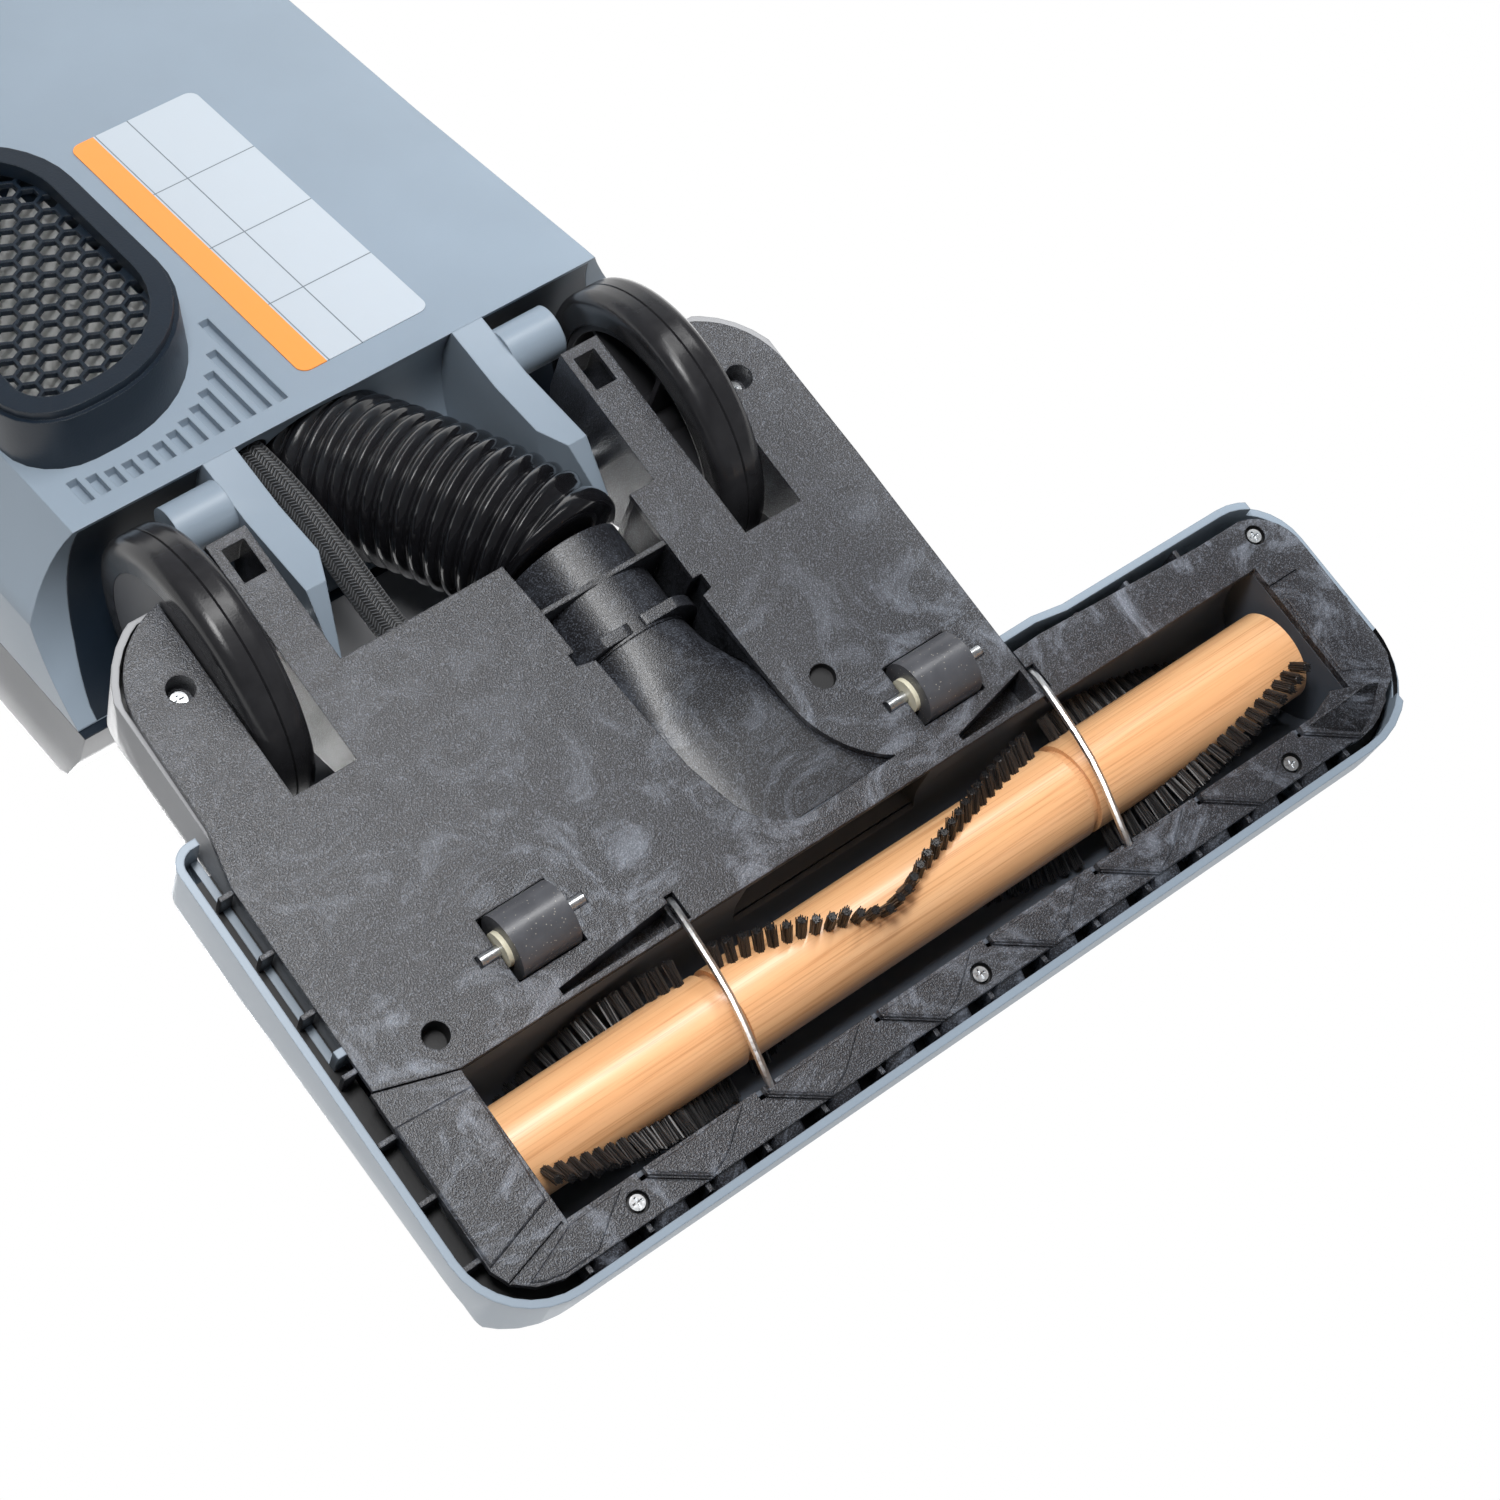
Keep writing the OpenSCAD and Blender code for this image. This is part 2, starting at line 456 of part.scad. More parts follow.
module tube_along(pts, r, n) loft([for (i = [0:len(pts) - 1])
    ring_at(pts[i], unit(pts[min(i + 1, len(pts) - 1)] - pts[max(i - 1, 0)]), r, n)]);
module suction_hose() color(rubber) in_head() tube_along(spline(hose_path, 2), hose_r, 12);
module motor_lead() color(rubber) in_head() tube_along(spline(lead_path, 2), 5.4, 8);

// ---- Body, over the hinge line ----

fork_x = [42, 54];
back_z = -32;
split_z = 42;
low_y = 58;
lower_top = 216;
port = [8, 0];
module fork(s) {
    x0 = s > 0 ? fork_x[0] : -fork_x[1];
    difference() {
        intersection() {
            along_x(concat([[-9, -21.4], [24, -25.6], [52, -34], [66, back_z], [66, 20], [30, 24]],
                arc([0, 0], 22, 80, 172, 8)), x0, x0 + 12);
            rod_x([0, 0], low_y - 0.1, -200, 200);
        }
        rod_x([0, 0], axle_r + 0.05, -200, 200);
        translate([x0 - 1, 26, -18]) cube([8.6, 40, 34]);
        slab([for (p = [[41.9, -30], [53, -30], [52, -21.5], [41.9, 2]]) [s * p[0], p[1]]], -40, 40);
    }
    rod_x([38, -22], 9.2, s > 0 ? fork_x[1] : -74, s > 0 ? 74 : -fork_x[1]);
}
module fork_left() color(blue) in_body() fork(1);
module fork_right() color(blue) in_body() fork(-1);

function body_plan(d) = [[-body_hw + d, 20], [body_hw - d, 20], [body_hw - d, 330],
    [body_hw - 36 - d, body_top - 90], [body_hw - 46 - d, body_top - 30 - d], [body_hw - 62, body_top - d],
    [-body_hw + 62, body_top - d], [-body_hw + 46 + d, body_top - 30 - d],
    [-body_hw + 36 + d, body_top - 90], [-body_hw + d, 330]];
function rear_side(d) = concat(arc([0, 0], low_y + d, asin((back_z + d) / (low_y + d)), 46.4, 14),
    [[body_top + 9, split_z + (d > 0 ? 5 : 0)], [body_top + 9, 4], [body_top - 24, back_z + d]]);
function rear_end(d) = [[-body_hw + 18 + d, back_z + d], [body_hw - 18 - d, back_z + d], [body_hw - d, 6],
    [body_hw - d, split_z + (d > 0 ? 5 : 0)], [-body_hw + d, split_z + (d > 0 ? 5 : 0)], [-body_hw + d, 6]];
// Facet that bevels the back along one side and fades out at the lower corner.
module back_bevel(d) translate([0, 0, back_z + d]) intersection() {
    translate([-50, 0, 0]) rotate([0, 10.4, 0]) translate([-200, 0, -60]) cube([200, 900, 60]);
    translate([-50, 163, 0]) rotate([0, 0, -25.2]) rotate([0, 11.45, 0])
        translate([-200, -400, -60]) cube([200, 1200, 60]);
}
cap_c = [70, 119];
vent_x = [for (k = [0:12]) 17.7 + 6 * k];
module vents() for (x = vent_x) {
    reach = abs(x - cap_c[0]) < 54 ? sqrt(54 * 54 - pow(x - cap_c[0], 2)) : 0;
    translate([x - 1.9, 57, back_z - 1]) cube([3.8, cap_c[1] - reach - 57, 4.2]);
}
// Dark liner of the concave face outside each fork; out widens it for the cut in the housing.
function arch_end(out) = [[54.4 - out, -29.6], [99 + out, -29.6], [107 + out, 19], [111.5 + out, 38],
    [112 + out, 45], [54.4 - out, 45]];
module arch(s, r0, r1, out) intersection() {
    along_x(concat(arc([0, 0], r1, -32, 46, 14), arc([0, 0], r0, 46, -32, 14)), -130, 130);
    along_y(s > 0 ? arch_end(out) : mirrored(arch_end(out)), 20, 70);
}
module arch_left() color(charcoal) in_body() arch(1, low_y, low_y + 2.5, 0);
module arch_right() color(charcoal) in_body() arch(-1, low_y, low_y + 2.5, 0);
module rear_housing() color(blue) in_body() difference() {
    block3(body_plan(0), rear_side(0), rear_end(0));
    back_bevel(0);
    difference() {
        block3(body_plan(2.6), rear_side(2.6), rear_end(2.6));
        back_bevel(2.6);
        translate([13, 50, back_z]) cube([84, 72, 6]);
    }
    for (s = [-1, 1]) arch(s, low_y - 1, low_y + 2.6, 0.05);
    vents();
    slab(cap_plan(10), back_z - 5, back_z + 15);
    translate([port[0], 80, port[1]]) rotate([90, 0, 0]) cylinder(r = 28.2, h = 45);
    translate([34.5, 75, -21]) rotate([90, 0, 0]) cylinder(r = 6.6, h = 40);
    translate([0, body_top + 20, 4]) rotate([90, 0, 0]) cylinder(r = 17.2, h = 60);
}
module hose_port() color(black) in_body() difference() {
    translate([port[0], 76, port[1]]) rotate([90, 0, 0]) cylinder(r = 28, h = 17.7);
    translate([port[0], 77, port[1]]) rotate([90, 0, 0]) cylinder(r = 24, h = 20);
    translate([port[0], 62, port[1]]) rotate([90, 0, 0]) cylinder(r = hose_r + 0.6, h = 5);
}

cover_back = split_z + gap;
function motor_side(d) = concat([[36 + d, cover_back - (d > 0 ? 6 : 0)], [46 + d, 62], [62 + d, 84],
    [118, body_front - d], [lower_top + (d > 0 ? 2 : 0), body_front - d],
    [lower_top + (d > 0 ? 2 : 0), cover_back - (d > 0 ? 6 : 0)]]);
function front_end(d) = concat([[body_hw - d, cover_back - (d > 0 ? 6 : 0)], [body_hw - d, 70]],
    arc([body_hw - 36, body_front - 36], 36 - d, 10, 90),
    arc([-body_hw + 36, body_front - 36], 36 - d, 90, 170),
    [[-body_hw + d, 70], [-body_hw + d, cover_back - (d > 0 ? 6 : 0)]]);
knuckle_c = [lower_top + 3, body_front + 5];
module knuckles(x0, x1, bore, y0, y1) difference() {
    union() {
        rod_x(knuckle_c, 4, x0, x1);
        translate([x0, y0, knuckle_c[1] - 6]) cube([x1 - x0, y1 - y0, 5]);
    }
    rod_x(knuckle_c, bore, x0 - 1, x1 + 1);
}
module motor_cover() color(charcoal) in_body() {
    difference() {
        block3(body_plan(0), motor_side(0), front_end(0));
        block3(body_plan(2.6), motor_side(2.6), front_end(2.6));
    }
    for (s = [-1, 1]) knuckles(s * 64 - 8, s * 64 + 8, 1.95, lower_top - 7, lower_top + 1);
}
door_low = lower_top + 0.6;
function door_side(d) = [[door_low - (d > 0 ? 4 : 0), cover_back - (d > 0 ? 6 : 0)],
    [door_low - (d > 0 ? 4 : 0), body_front - 2 - d], [door_low + 6, body_front - d], 
    [470, body_front + 4 - d], [560 - d, body_front - 18 - d],
    [body_top - 34 - d, 58 - d], [body_top - 30 - d, cover_back - (d > 0 ? 6 : 0)]];
module bag_door() color(blue) in_body() {
    difference() {
        block3(body_plan(0), door_side(0), front_end(0));
        block3(body_plan(2.6), door_side(2.6), front_end(2.6));
    }
    knuckles(-54, 54, 1.97, lower_top + 3, lower_top + 10);
}
latch_c = [628, 56];
module top_cap() color(charcoal) in_body() {
    block3(body_plan(0), [[body_top - 29, cover_back], [body_top - 27, 50], [body_top - 6, 48],
        [body_top, cover_back]], front_end(0));
    for (s = [-1, 1]) difference() {
        translate([s * 17 - 2.2, latch_c[0] - 5, 43]) cube([4.4, 10, 18]);
        rod_x(latch_c, 2.05, s * 17 - 3, s * 17 + 3);
    }
}
module door_latch() color(black) in_body() {
    along_x([[616.5, 62], [618, 71], [631, 64], [633.5, 56], [628, 52.6], [620, 54]], -14.3, 14.3);
    rod_x(latch_c, 2, -19, 19);
}
module door_pin() color(zinc) in_body() rod_x(knuckle_c, 1.9, -74, 74);

// Plan of the exhaust collar, drawn in by d.
function cap_plan(d) = concat(arc(cap_c, 47 - d, 180, 270, 10), arc([78, 94], 22 - d, 270, 360, 6),
    arc([78, 195], 22 - d, 0, 90, 6), arc([70, 170], 47 - d, 90, 180, 10));
module exhaust_collar() color(charcoal) in_body() difference() {
    union() {
        slab(cap_plan(0), back_z - 20, back_z - 0.05);
        slab(cap_plan(1.5), back_z - 23, back_z - 20);
    }
    slab(cap_plan(9), back_z - 24, back_z - 17);
    slab(cap_plan(4), back_z - 17.01, back_z + 1);
}
module exhaust_grille() color(charcoal) in_body() difference() {
    slab(cap_plan(4.3), back_z - 16.9, back_z - 14.9);
    for (j = [0:16]) for (i = [-6:5]) {
        p = [66 + 8 * (i + (j % 2) / 2), 88 + 6.93 * j];
        if (p[0] > 33 && p[0] < 92 && norm([max(abs(p[0] - 66) - 0, 0), max(119 - p[1], p[1] - 170, 0)]) < 36)
            translate([p[0], p[1], back_z - 20]) rotate(30) cylinder(r = 3.9, h = 10, $fn = 6);
    }
}
module filter() color("white") in_body() slab(cap_plan(10.3), back_z - 14.8, back_z + 17.9);
module suction_motor() color(charcoal) in_body() {
    translate([52, 146, back_z + 18]) cylinder(r = 52, h = 86);
    translate([40, 190, 40]) cube([40, 21.9, 32]);
}
bag_neck = [-40, 50];
module bulkhead() color(black) in_body() difference() {
    block3(body_plan(2.9), [[212, cover_back], [215, cover_back], [215, 116], [212, 116]], front_end(3.2));
    translate([bag_neck[0], 220, bag_neck[1]]) rotate([90, 0, 0]) cylinder(r = 20, h = 12);
}
module label_plate() color("#D7DEE4") in_body()
    slab(rounded(-44, 6.5, 63, 210, 4), back_z - 0.45, back_z - 0.05);
module dust_bag() color("#C9B48C") in_body() difference() {
    union() {
        slab(rounded(-70, 70, 232, 540, 24), -12, 92);
        translate([bag_neck[0], 240, bag_neck[1]]) rotate([90, 0, 0]) cylinder(r = 19.8, h = 35);
    }
    slab(rounded(-68, 68, 234, 538, 22), -10, 90);
    translate([bag_neck[0], 241, bag_neck[1]]) rotate([90, 0, 0]) cylinder(r = 18, h = 38);
}
module handle_socket() color(black) in_body() difference() {
    translate([0, 680, 4]) rotate([90, 0, 0]) cylinder(r = 17, h = 92);
    translate([0, 681, 4]) rotate([90, 0, 0]) cylinder(r = 14.05, h = 88);
}
module handle_tube() color(zinc) in_body() difference() {
    translate([0, tube_top, 4]) rotate([90, 0, 0]) cylinder(r = 14, h = tube_top - 600);
    translate([0, tube_top + 1, 4]) rotate([90, 0, 0]) cylinder(r = 12.4, h = tube_top - 598);
}
rocker_c = [964, 22];
module switch_box() color(black) in_body() difference() {
    slab(rounded(-21, 21, 930, 1000, 8), -12, 24);
    translate([0, 1001, 4]) rotate([90, 0, 0]) cylinder(r = 14.05, h = 80);
    translate([-8.2, rocker_c[0] - 14, rocker_c[1] - 2]) cube([16.4, 28, 5]);
    rod_x(rocker_c, 1.05, -11, 11);
}
// The rocker stands tipped to its off side.
module switch_rocker() color(rubber) in_body() translate([0, rocker_c[0], rocker_c[1]]) rotate([-10, 0, 0]) {
    along_x([[-13, 1.4], [0, -1.6], [13, 1.4], [13, 6], [0, 3.4], [-13, 6]], -7.8, 7.8);
    rod_x([0, 0], 1, -10.5, 10.5);
}
grip_y = [1038, 1078];
module grip() color(black) in_body() translate([0, 0, 4]) {
    for (e = [0, 1]) translate([0, grip_y[e], 0]) rotate([0, 90, 0]) rotate([0, 0, 180 * e + 180])
        rotate_extrude(angle = 180) translate([24, 0]) circle(r = 11, $fn = 32);
    for (z = [-24, 24]) translate([0, grip_y[1], z]) rotate([90, 0, 0]) cylinder(r = 11, h = 40, $fn = 32);
    translate([0, 1010, 0]) rotate([90, 0, 0]) cylinder(r = 12.3, h = 30);
}
module cord_hook() color(black) in_body() {
    translate([-9, 600, -60]) cube([18, 8, 27.95]);
    translate([-9, 580, -60]) cube([18, 28, 6]);
}
hook_y = 886;
module hook_saddle() color(black) in_body() difference() {
    union() {
        translate([0, hook_y + 12, 4]) rotate([90, 0, 0]) cylinder(r = 18, h = 24);
        translate([0, hook_y, -30.5]) cylinder(r = 4, h = 19);
    }
    translate([0, hook_y + 13, 4]) rotate([90, 0, 0]) cylinder(r = 14.05, h = 26);
}
module cord_hook_swivel() color(black) in_body() difference() {
    union() {
        translate([0, hook_y, -46]) cylinder(r = 8, h = 31.7);
        translate([-8, hook_y, -46]) cube([16, 26, 6]);
    }
    translate([0, hook_y, -31]) cylinder(r = 4.05, h = 18);
}
module cord_gland() color(black) in_body() translate([0, 985, -12.1]) mirror([0, 0, 1]) difference() {
    cylinder(r = 7, h = 8);
    translate([0, 0, 3]) cylinder(r = 4.6, h = 6);
}

base_plate();
sole_frame();
head_shell();
brush_chamber();
chassis_cover();
suction_duct();
duct_cuff();
duct_collar();
duct_well();
wire_guard_left();
wire_guard_right();
case_screws();
axle_left();
axle_right();
brush_motor();
brush_bearings();
roller_pin_left();
roller_pin_right();
roller_tyre_left();
roller_tyre_right();
roller_core_left();
roller_core_right();
wheel_tyre_left();
wheel_tyre_right();
wheel_hub_left();
wheel_hub_right();
brush_roll();
bristle_rows();
brush_stubs();
motor_pulley();
drive_belt();
suction_hose();
motor_lead();
hose_port();
fork_left();
fork_right();
rear_housing();
arch_left();
arch_right();
motor_cover();
exhaust_collar();
exhaust_grille();
filter();
suction_motor();
bulkhead();
label_plate();
bag_door();
door_pin();
top_cap();
door_latch();
dust_bag();
handle_socket();
handle_tube();
switch_box();
switch_rocker();
grip();
cord_hook();
hook_saddle();
cord_hook_swivel();
cord_gland();
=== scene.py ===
"""Upright vacuum cleaner with its body laid back: finishes and fine pieces over the built frame."""

import math
import random

import bmesh
import bpy
from mathutils import Matrix, Vector


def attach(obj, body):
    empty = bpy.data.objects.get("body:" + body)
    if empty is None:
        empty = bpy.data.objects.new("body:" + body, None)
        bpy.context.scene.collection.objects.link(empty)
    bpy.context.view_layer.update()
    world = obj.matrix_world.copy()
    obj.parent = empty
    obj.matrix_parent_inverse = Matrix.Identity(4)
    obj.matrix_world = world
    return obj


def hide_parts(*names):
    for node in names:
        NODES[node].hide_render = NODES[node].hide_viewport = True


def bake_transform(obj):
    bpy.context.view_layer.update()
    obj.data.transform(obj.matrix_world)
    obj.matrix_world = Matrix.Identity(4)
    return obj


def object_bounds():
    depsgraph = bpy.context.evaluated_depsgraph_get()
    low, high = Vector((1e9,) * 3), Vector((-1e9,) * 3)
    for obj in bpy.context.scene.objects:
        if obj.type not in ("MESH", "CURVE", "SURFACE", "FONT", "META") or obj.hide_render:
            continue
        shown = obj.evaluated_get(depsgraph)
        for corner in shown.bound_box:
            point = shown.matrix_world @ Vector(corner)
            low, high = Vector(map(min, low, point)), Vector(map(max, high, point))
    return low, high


bl_info = {
    "name": "Upright Vacuum Cleaner",
    "version": (1, 0, 0),
    "blender": (4, 5, 0),
    "location": "3D View > Sidebar > Vacuum",
    "description": "Dresses the frame of an upright vacuum cleaner",
    "category": "Object",
}

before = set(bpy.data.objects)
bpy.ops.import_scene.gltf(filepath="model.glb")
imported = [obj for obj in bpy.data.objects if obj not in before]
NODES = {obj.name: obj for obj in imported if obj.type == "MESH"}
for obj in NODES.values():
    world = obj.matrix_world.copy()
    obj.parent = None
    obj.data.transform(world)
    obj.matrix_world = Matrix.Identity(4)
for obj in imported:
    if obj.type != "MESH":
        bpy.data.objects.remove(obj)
BUILT_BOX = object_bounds()

MM = 0.001
SOLE_TILT = math.radians(3.55)  # the sole drops towards the nose, which rides on two small rollers
RECLINE = math.radians(21.5)  # the body leans back from the sole by this much when stored
HEAD_ORIGIN = Vector((50.75, -543.45, 9.514)) * MM
HINGE = (154.5, 30.98)  # recline axis in the head's own length and height, mm
ROLL_AXIS = (-26.6, 19.0)  # axis of the brush roll in the head's own length and height, mm

# Places of the head are millimetres from the rear lip of the brush slot, Z up from the sole;
# places of the body are millimetres from the recline axis.
HEAD_FRAME = Matrix.Translation(HEAD_ORIGIN) @ Matrix.Rotation(SOLE_TILT, 4, "X")
BODY_FRAME = (
    HEAD_FRAME
    @ Matrix.Translation(Vector((0, *HINGE)) * MM)
    @ Matrix.Rotation(RECLINE, 4, "X")
)


def in_head(x, y, z):
    """A point of the brush head, in millimetres from the lip of the sole, as metres in the row frame."""
    return HEAD_FRAME @ (Vector((x, y, z)) * MM)


def linear(code):
    """An sRGB hex colour as the linear RGBA that shader sockets hold."""
    values = [int(code[i : i + 2], 16) / 255 for i in (1, 3, 5)]
    return (*[v / 12.92 if v <= 0.04045 else ((v + 0.055) / 1.055) ** 2.4 for v in values], 1.0)


def fill(tree, node, inputs):
    """Fills a node's inputs with values or with other nodes' outputs."""
    for name, value in inputs.items():
        if isinstance(value, bpy.types.NodeSocket):
            tree.links.new(value, node.inputs[name])
        else:
            node.inputs[name].default_value = value


def add(tree, kind, inputs=None, **settings):
    """Adds a node with its settings and fills its inputs."""
    made = tree.nodes.new(kind)
    for name, value in settings.items():
        setattr(made, name, value)
    fill(tree, made, inputs or {})
    return made


def put(name, data):
    """Adds an object to the scene."""
    made = bpy.data.objects.new(name, data)
    bpy.context.scene.collection.objects.link(made)
    return made


def shade_smooth(mesh):
    mesh.polygons.foreach_set("use_smooth", [True] * len(mesh.polygons))


def length(name, text, default, low=0.0):
    return bpy.props.FloatProperty(
        name=name, description=text, default=default * MM, min=low * MM, unit="LENGTH", precision=5
    )


def colour(name, text, code):
    return bpy.props.FloatVectorProperty(
        name=name, description=text, default=linear(code)[:3], size=3, min=0, max=1, subtype="COLOR"
    )


class VacuumSizes(bpy.types.PropertyGroup):
    hose_radius: length("Hose radius", "Crest radius of the corrugated suction hose", 27.0)
    hose_depth: length("Hose groove", "Depth of the grooves between the hose's ribs", 3.4)
    hose_pitch: length("Hose pitch", "Distance from one rib of the hose to the next", 6.0)
    lead_radius: length("Lead radius", "Radius of the braided motor lead", 5.5)
    braid_pitch: length("Braid pitch", "Distance between two strands along the lead's braid", 1.35)
    roll_radius: length("Roll radius", "Radius of the wooden brush roll", 16.0)
    tip_radius: length("Bristle radius", "Distance of the bristle tips from the roll's axis", 24.7)
    tuft_pitch: length("Tuft pitch", "Distance between two tufts along the roll", 4.3)
    tuft_radius: length("Tuft radius", "Radius of a tuft where it leaves its hole", 1.45)
    tuft_hairs: bpy.props.IntProperty(
        name="Hairs", description="Filaments drawn in each tuft", default=30, min=6, max=60
    )
    facet_rise: length("Facet rise", "How far the facets of the sole stand proud", 0.5)
    edge_round: length("Edge radius", "Radius of the moulded parts' edges", 0.7)
    pleat_pitch: length("Pleat pitch", "Distance between two folds of the exhaust filter", 5.0)


class VacuumColours(bpy.types.PropertyGroup):
    blue: colour("Housing", "Blue-grey of the moulded housing", "#8693A0")
    black: colour("Sole", "Black of the moulded base plate and sole", "#26262A")
    charcoal: colour("Trim", "Charcoal of the exhaust cap and trim", "#0E1A26")
    grey: colour("Cover", "Warm grey of the chassis cover", "#8E8F92")
    rubber: colour("Rubber", "Black of tyres and belts", "#1D1D1F")
    maple: colour("Brush roll", "Lacquered maple of the brush roll", "#DFA672")
    ivory: colour("Nylon", "Ivory nylon of the roller cores", "#E9E4CC")
    stripe: colour("Label stripe", "Band along the edge of the label", "#F0964A")


# ---------------------------------------------------------------- finishes

HAZE_FROM, HAZE_FULL = -455, -535  # flow marks gather between these two places along the object, mm


def finish_base(name):
    """An empty material with its tree, its Principled shader and a point on the object in millimetres."""
    material = bpy.data.materials.new(name)
    material.use_nodes = True
    tree = material.node_tree
    tree.nodes.clear()
    shader = add(tree, "ShaderNodeBsdfPrincipled")
    add(tree, "ShaderNodeOutputMaterial", {"Surface": shader.outputs["BSDF"]})
    place = add(tree, "ShaderNodeTexCoord").outputs["Object"]
    point = add(
        tree, "ShaderNodeVectorMath", {0: place, 1: (1000, 1000, 1000)}, operation="MULTIPLY"
    ).outputs[0]
    return material, tree, shader, point


def moulded(name, base, rough, grain, grain_depth, edge, pale=None, haze=0.0, haze_size=60.0):
    """Injection-moulded plastic: a fine spark-eroded grain, a slow drift of tone and gloss, softened edges.

    pale and haze add the light flow marks that dark polypropylene shows, thickest towards the brush slot.
    """
    material, tree, shader, point = finish_base(name)
    fine = add(tree, "ShaderNodeTexNoise", {"Vector": point, "Scale": 1 / grain, "Detail": 2.0})
    drift_size = 45
    drift = add(tree, "ShaderNodeTexNoise", {"Vector": point, "Scale": 1 / drift_size, "Detail": 3.0})
    tone = add(
        tree,
        "ShaderNodeMixRGB",
        {
            "Fac": drift.outputs["Fac"],
            "Color1": (*[c * 0.93 for c in base], 1),
            "Color2": (*[min(1, c * 1.07) for c in base], 1),
        },
    ).outputs[0]
    if pale:
        swirl = add(
            tree,
            "ShaderNodeTexNoise",
            {"Vector": point, "Scale": 1 / haze_size, "Detail": 9.0, "Roughness": 0.72, "Distortion": 2.4},
        )
        ahead = add(tree, "ShaderNodeSeparateXYZ", {0: point}).outputs["Y"]
        gather = add(
            tree,
            "ShaderNodeMapRange",
            {"Value": ahead, "From Min": HAZE_FROM, "From Max": HAZE_FULL, "To Min": 0.12, "To Max": haze},
        )
        cloud = add(
            tree,
            "ShaderNodeMapRange",
            {"Value": swirl.outputs["Fac"], "From Min": 0.5, "From Max": 0.74, "To Max": gather.outputs[0]},
        )
        speck = add(
            tree,
            "ShaderNodeMapRange",
            {"Value": fine.outputs["Fac"], "From Min": 0.5, "From Max": 0.72, "To Max": 0.3},
        )
        both = add(
            tree,
            "ShaderNodeMath",
            {0: cloud.outputs[0], 1: speck.outputs[0]},
            operation="ADD",
            use_clamp=True,
        )
        tone = add(
            tree, "ShaderNodeMixRGB", {"Fac": both.outputs[0], "Color1": tone, "Color2": linear(pale)}
        ).outputs[0]
    gloss = add(
        tree,
        "ShaderNodeMapRange",
        {"Value": drift.outputs["Fac"], "To Min": max(0.05, rough - 0.05), "To Max": rough + 0.06},
    )
    soft = add(tree, "ShaderNodeBevel", {"Radius": edge}, samples=3)
    bump = add(
        tree,
        "ShaderNodeBump",
        {
            "Height": fine.outputs["Fac"],
            "Distance": grain_depth * MM,
            "Strength": 1.0,
            "Normal": soft.outputs[0],
        },
    )
    fill(tree, shader, {"Base Color": tone, "Roughness": gloss.outputs[0], "Normal": bump.outputs[0]})
    return material


def zinc_plate():
    """Bright zinc over steel: a cool grey metal with faint drawn streaks and a soft shine."""
    material, tree, shader, point = finish_base("zinc_plated_steel")
    noise = add(tree, "ShaderNodeTexNoise", {"Vector": point, "Scale": 1 / 1.2, "Detail": 3.0})
    gloss = add(tree, "ShaderNodeMapRange", {"Value": noise.outputs["Fac"], "To Min": 0.2, "To Max": 0.42})
    tint = add(
        tree,
        "ShaderNodeMixRGB",
        {"Fac": noise.outputs["Fac"], "Color1": linear("#C2C6CA"), "Color2": linear("#E6E8EA")},
    )
    bump = add(tree, "ShaderNodeBump", {"Height": noise.outputs["Fac"], "Distance": 0.03 * MM})
    fill(
        tree,
        shader,
        {
            "Metallic": 1.0,
            "Base Color": tint.outputs[0],
            "Roughness": gloss.outputs[0],
            "Normal": bump.outputs[0],
        },
    )
    return material


def wheel_rubber(base, name="moulded_rubber", rough=0.36, dust=0.0):
    """Moulded rubber: nearly black with a waxy bloom, and pale dust where dust is asked for."""
    material, tree, shader, point = finish_base(name)
    bloom = add(
        tree, "ShaderNodeTexNoise", {"Vector": point, "Scale": 1 / 9, "Detail": 4.0, "Distortion": 0.6}
    )
    tone = add(
        tree,
        "ShaderNodeMixRGB",
        {"Fac": bloom.outputs["Fac"], "Color1": (*base, 1), "Color2": (*[c * 2.0 + 0.004 for c in base], 1)},
    ).outputs[0]
    if dust:
        specks = add(tree, "ShaderNodeTexVoronoi", {"Vector": point, "Scale": 1 / 1.5, "Randomness": 1.0})
        spots = add(
            tree,
            "ShaderNodeMapRange",
            {"Value": specks.outputs["Distance"], "From Min": 0.16, "From Max": 0.08, "To Max": dust},
        )
        tone = add(
            tree, "ShaderNodeMixRGB", {"Fac": spots.outputs[0], "Color1": tone, "Color2": linear("#A8A49A")}
        ).outputs[0]
    gloss = add(
        tree,
        "ShaderNodeMapRange",
        {"Value": bloom.outputs["Fac"], "To Min": rough - 0.08, "To Max": rough + 0.12},
    )
    fine = add(tree, "ShaderNodeTexNoise", {"Vector": point, "Scale": 1 / 0.7, "Detail": 2.0})
    bump = add(tree, "ShaderNodeBump", {"Height": fine.outputs["Fac"], "Distance": 0.03 * MM})
    fill(tree, shader, {"Base Color": tone, "Roughness": gloss.outputs[0], "Normal": bump.outputs[0]})
    return material


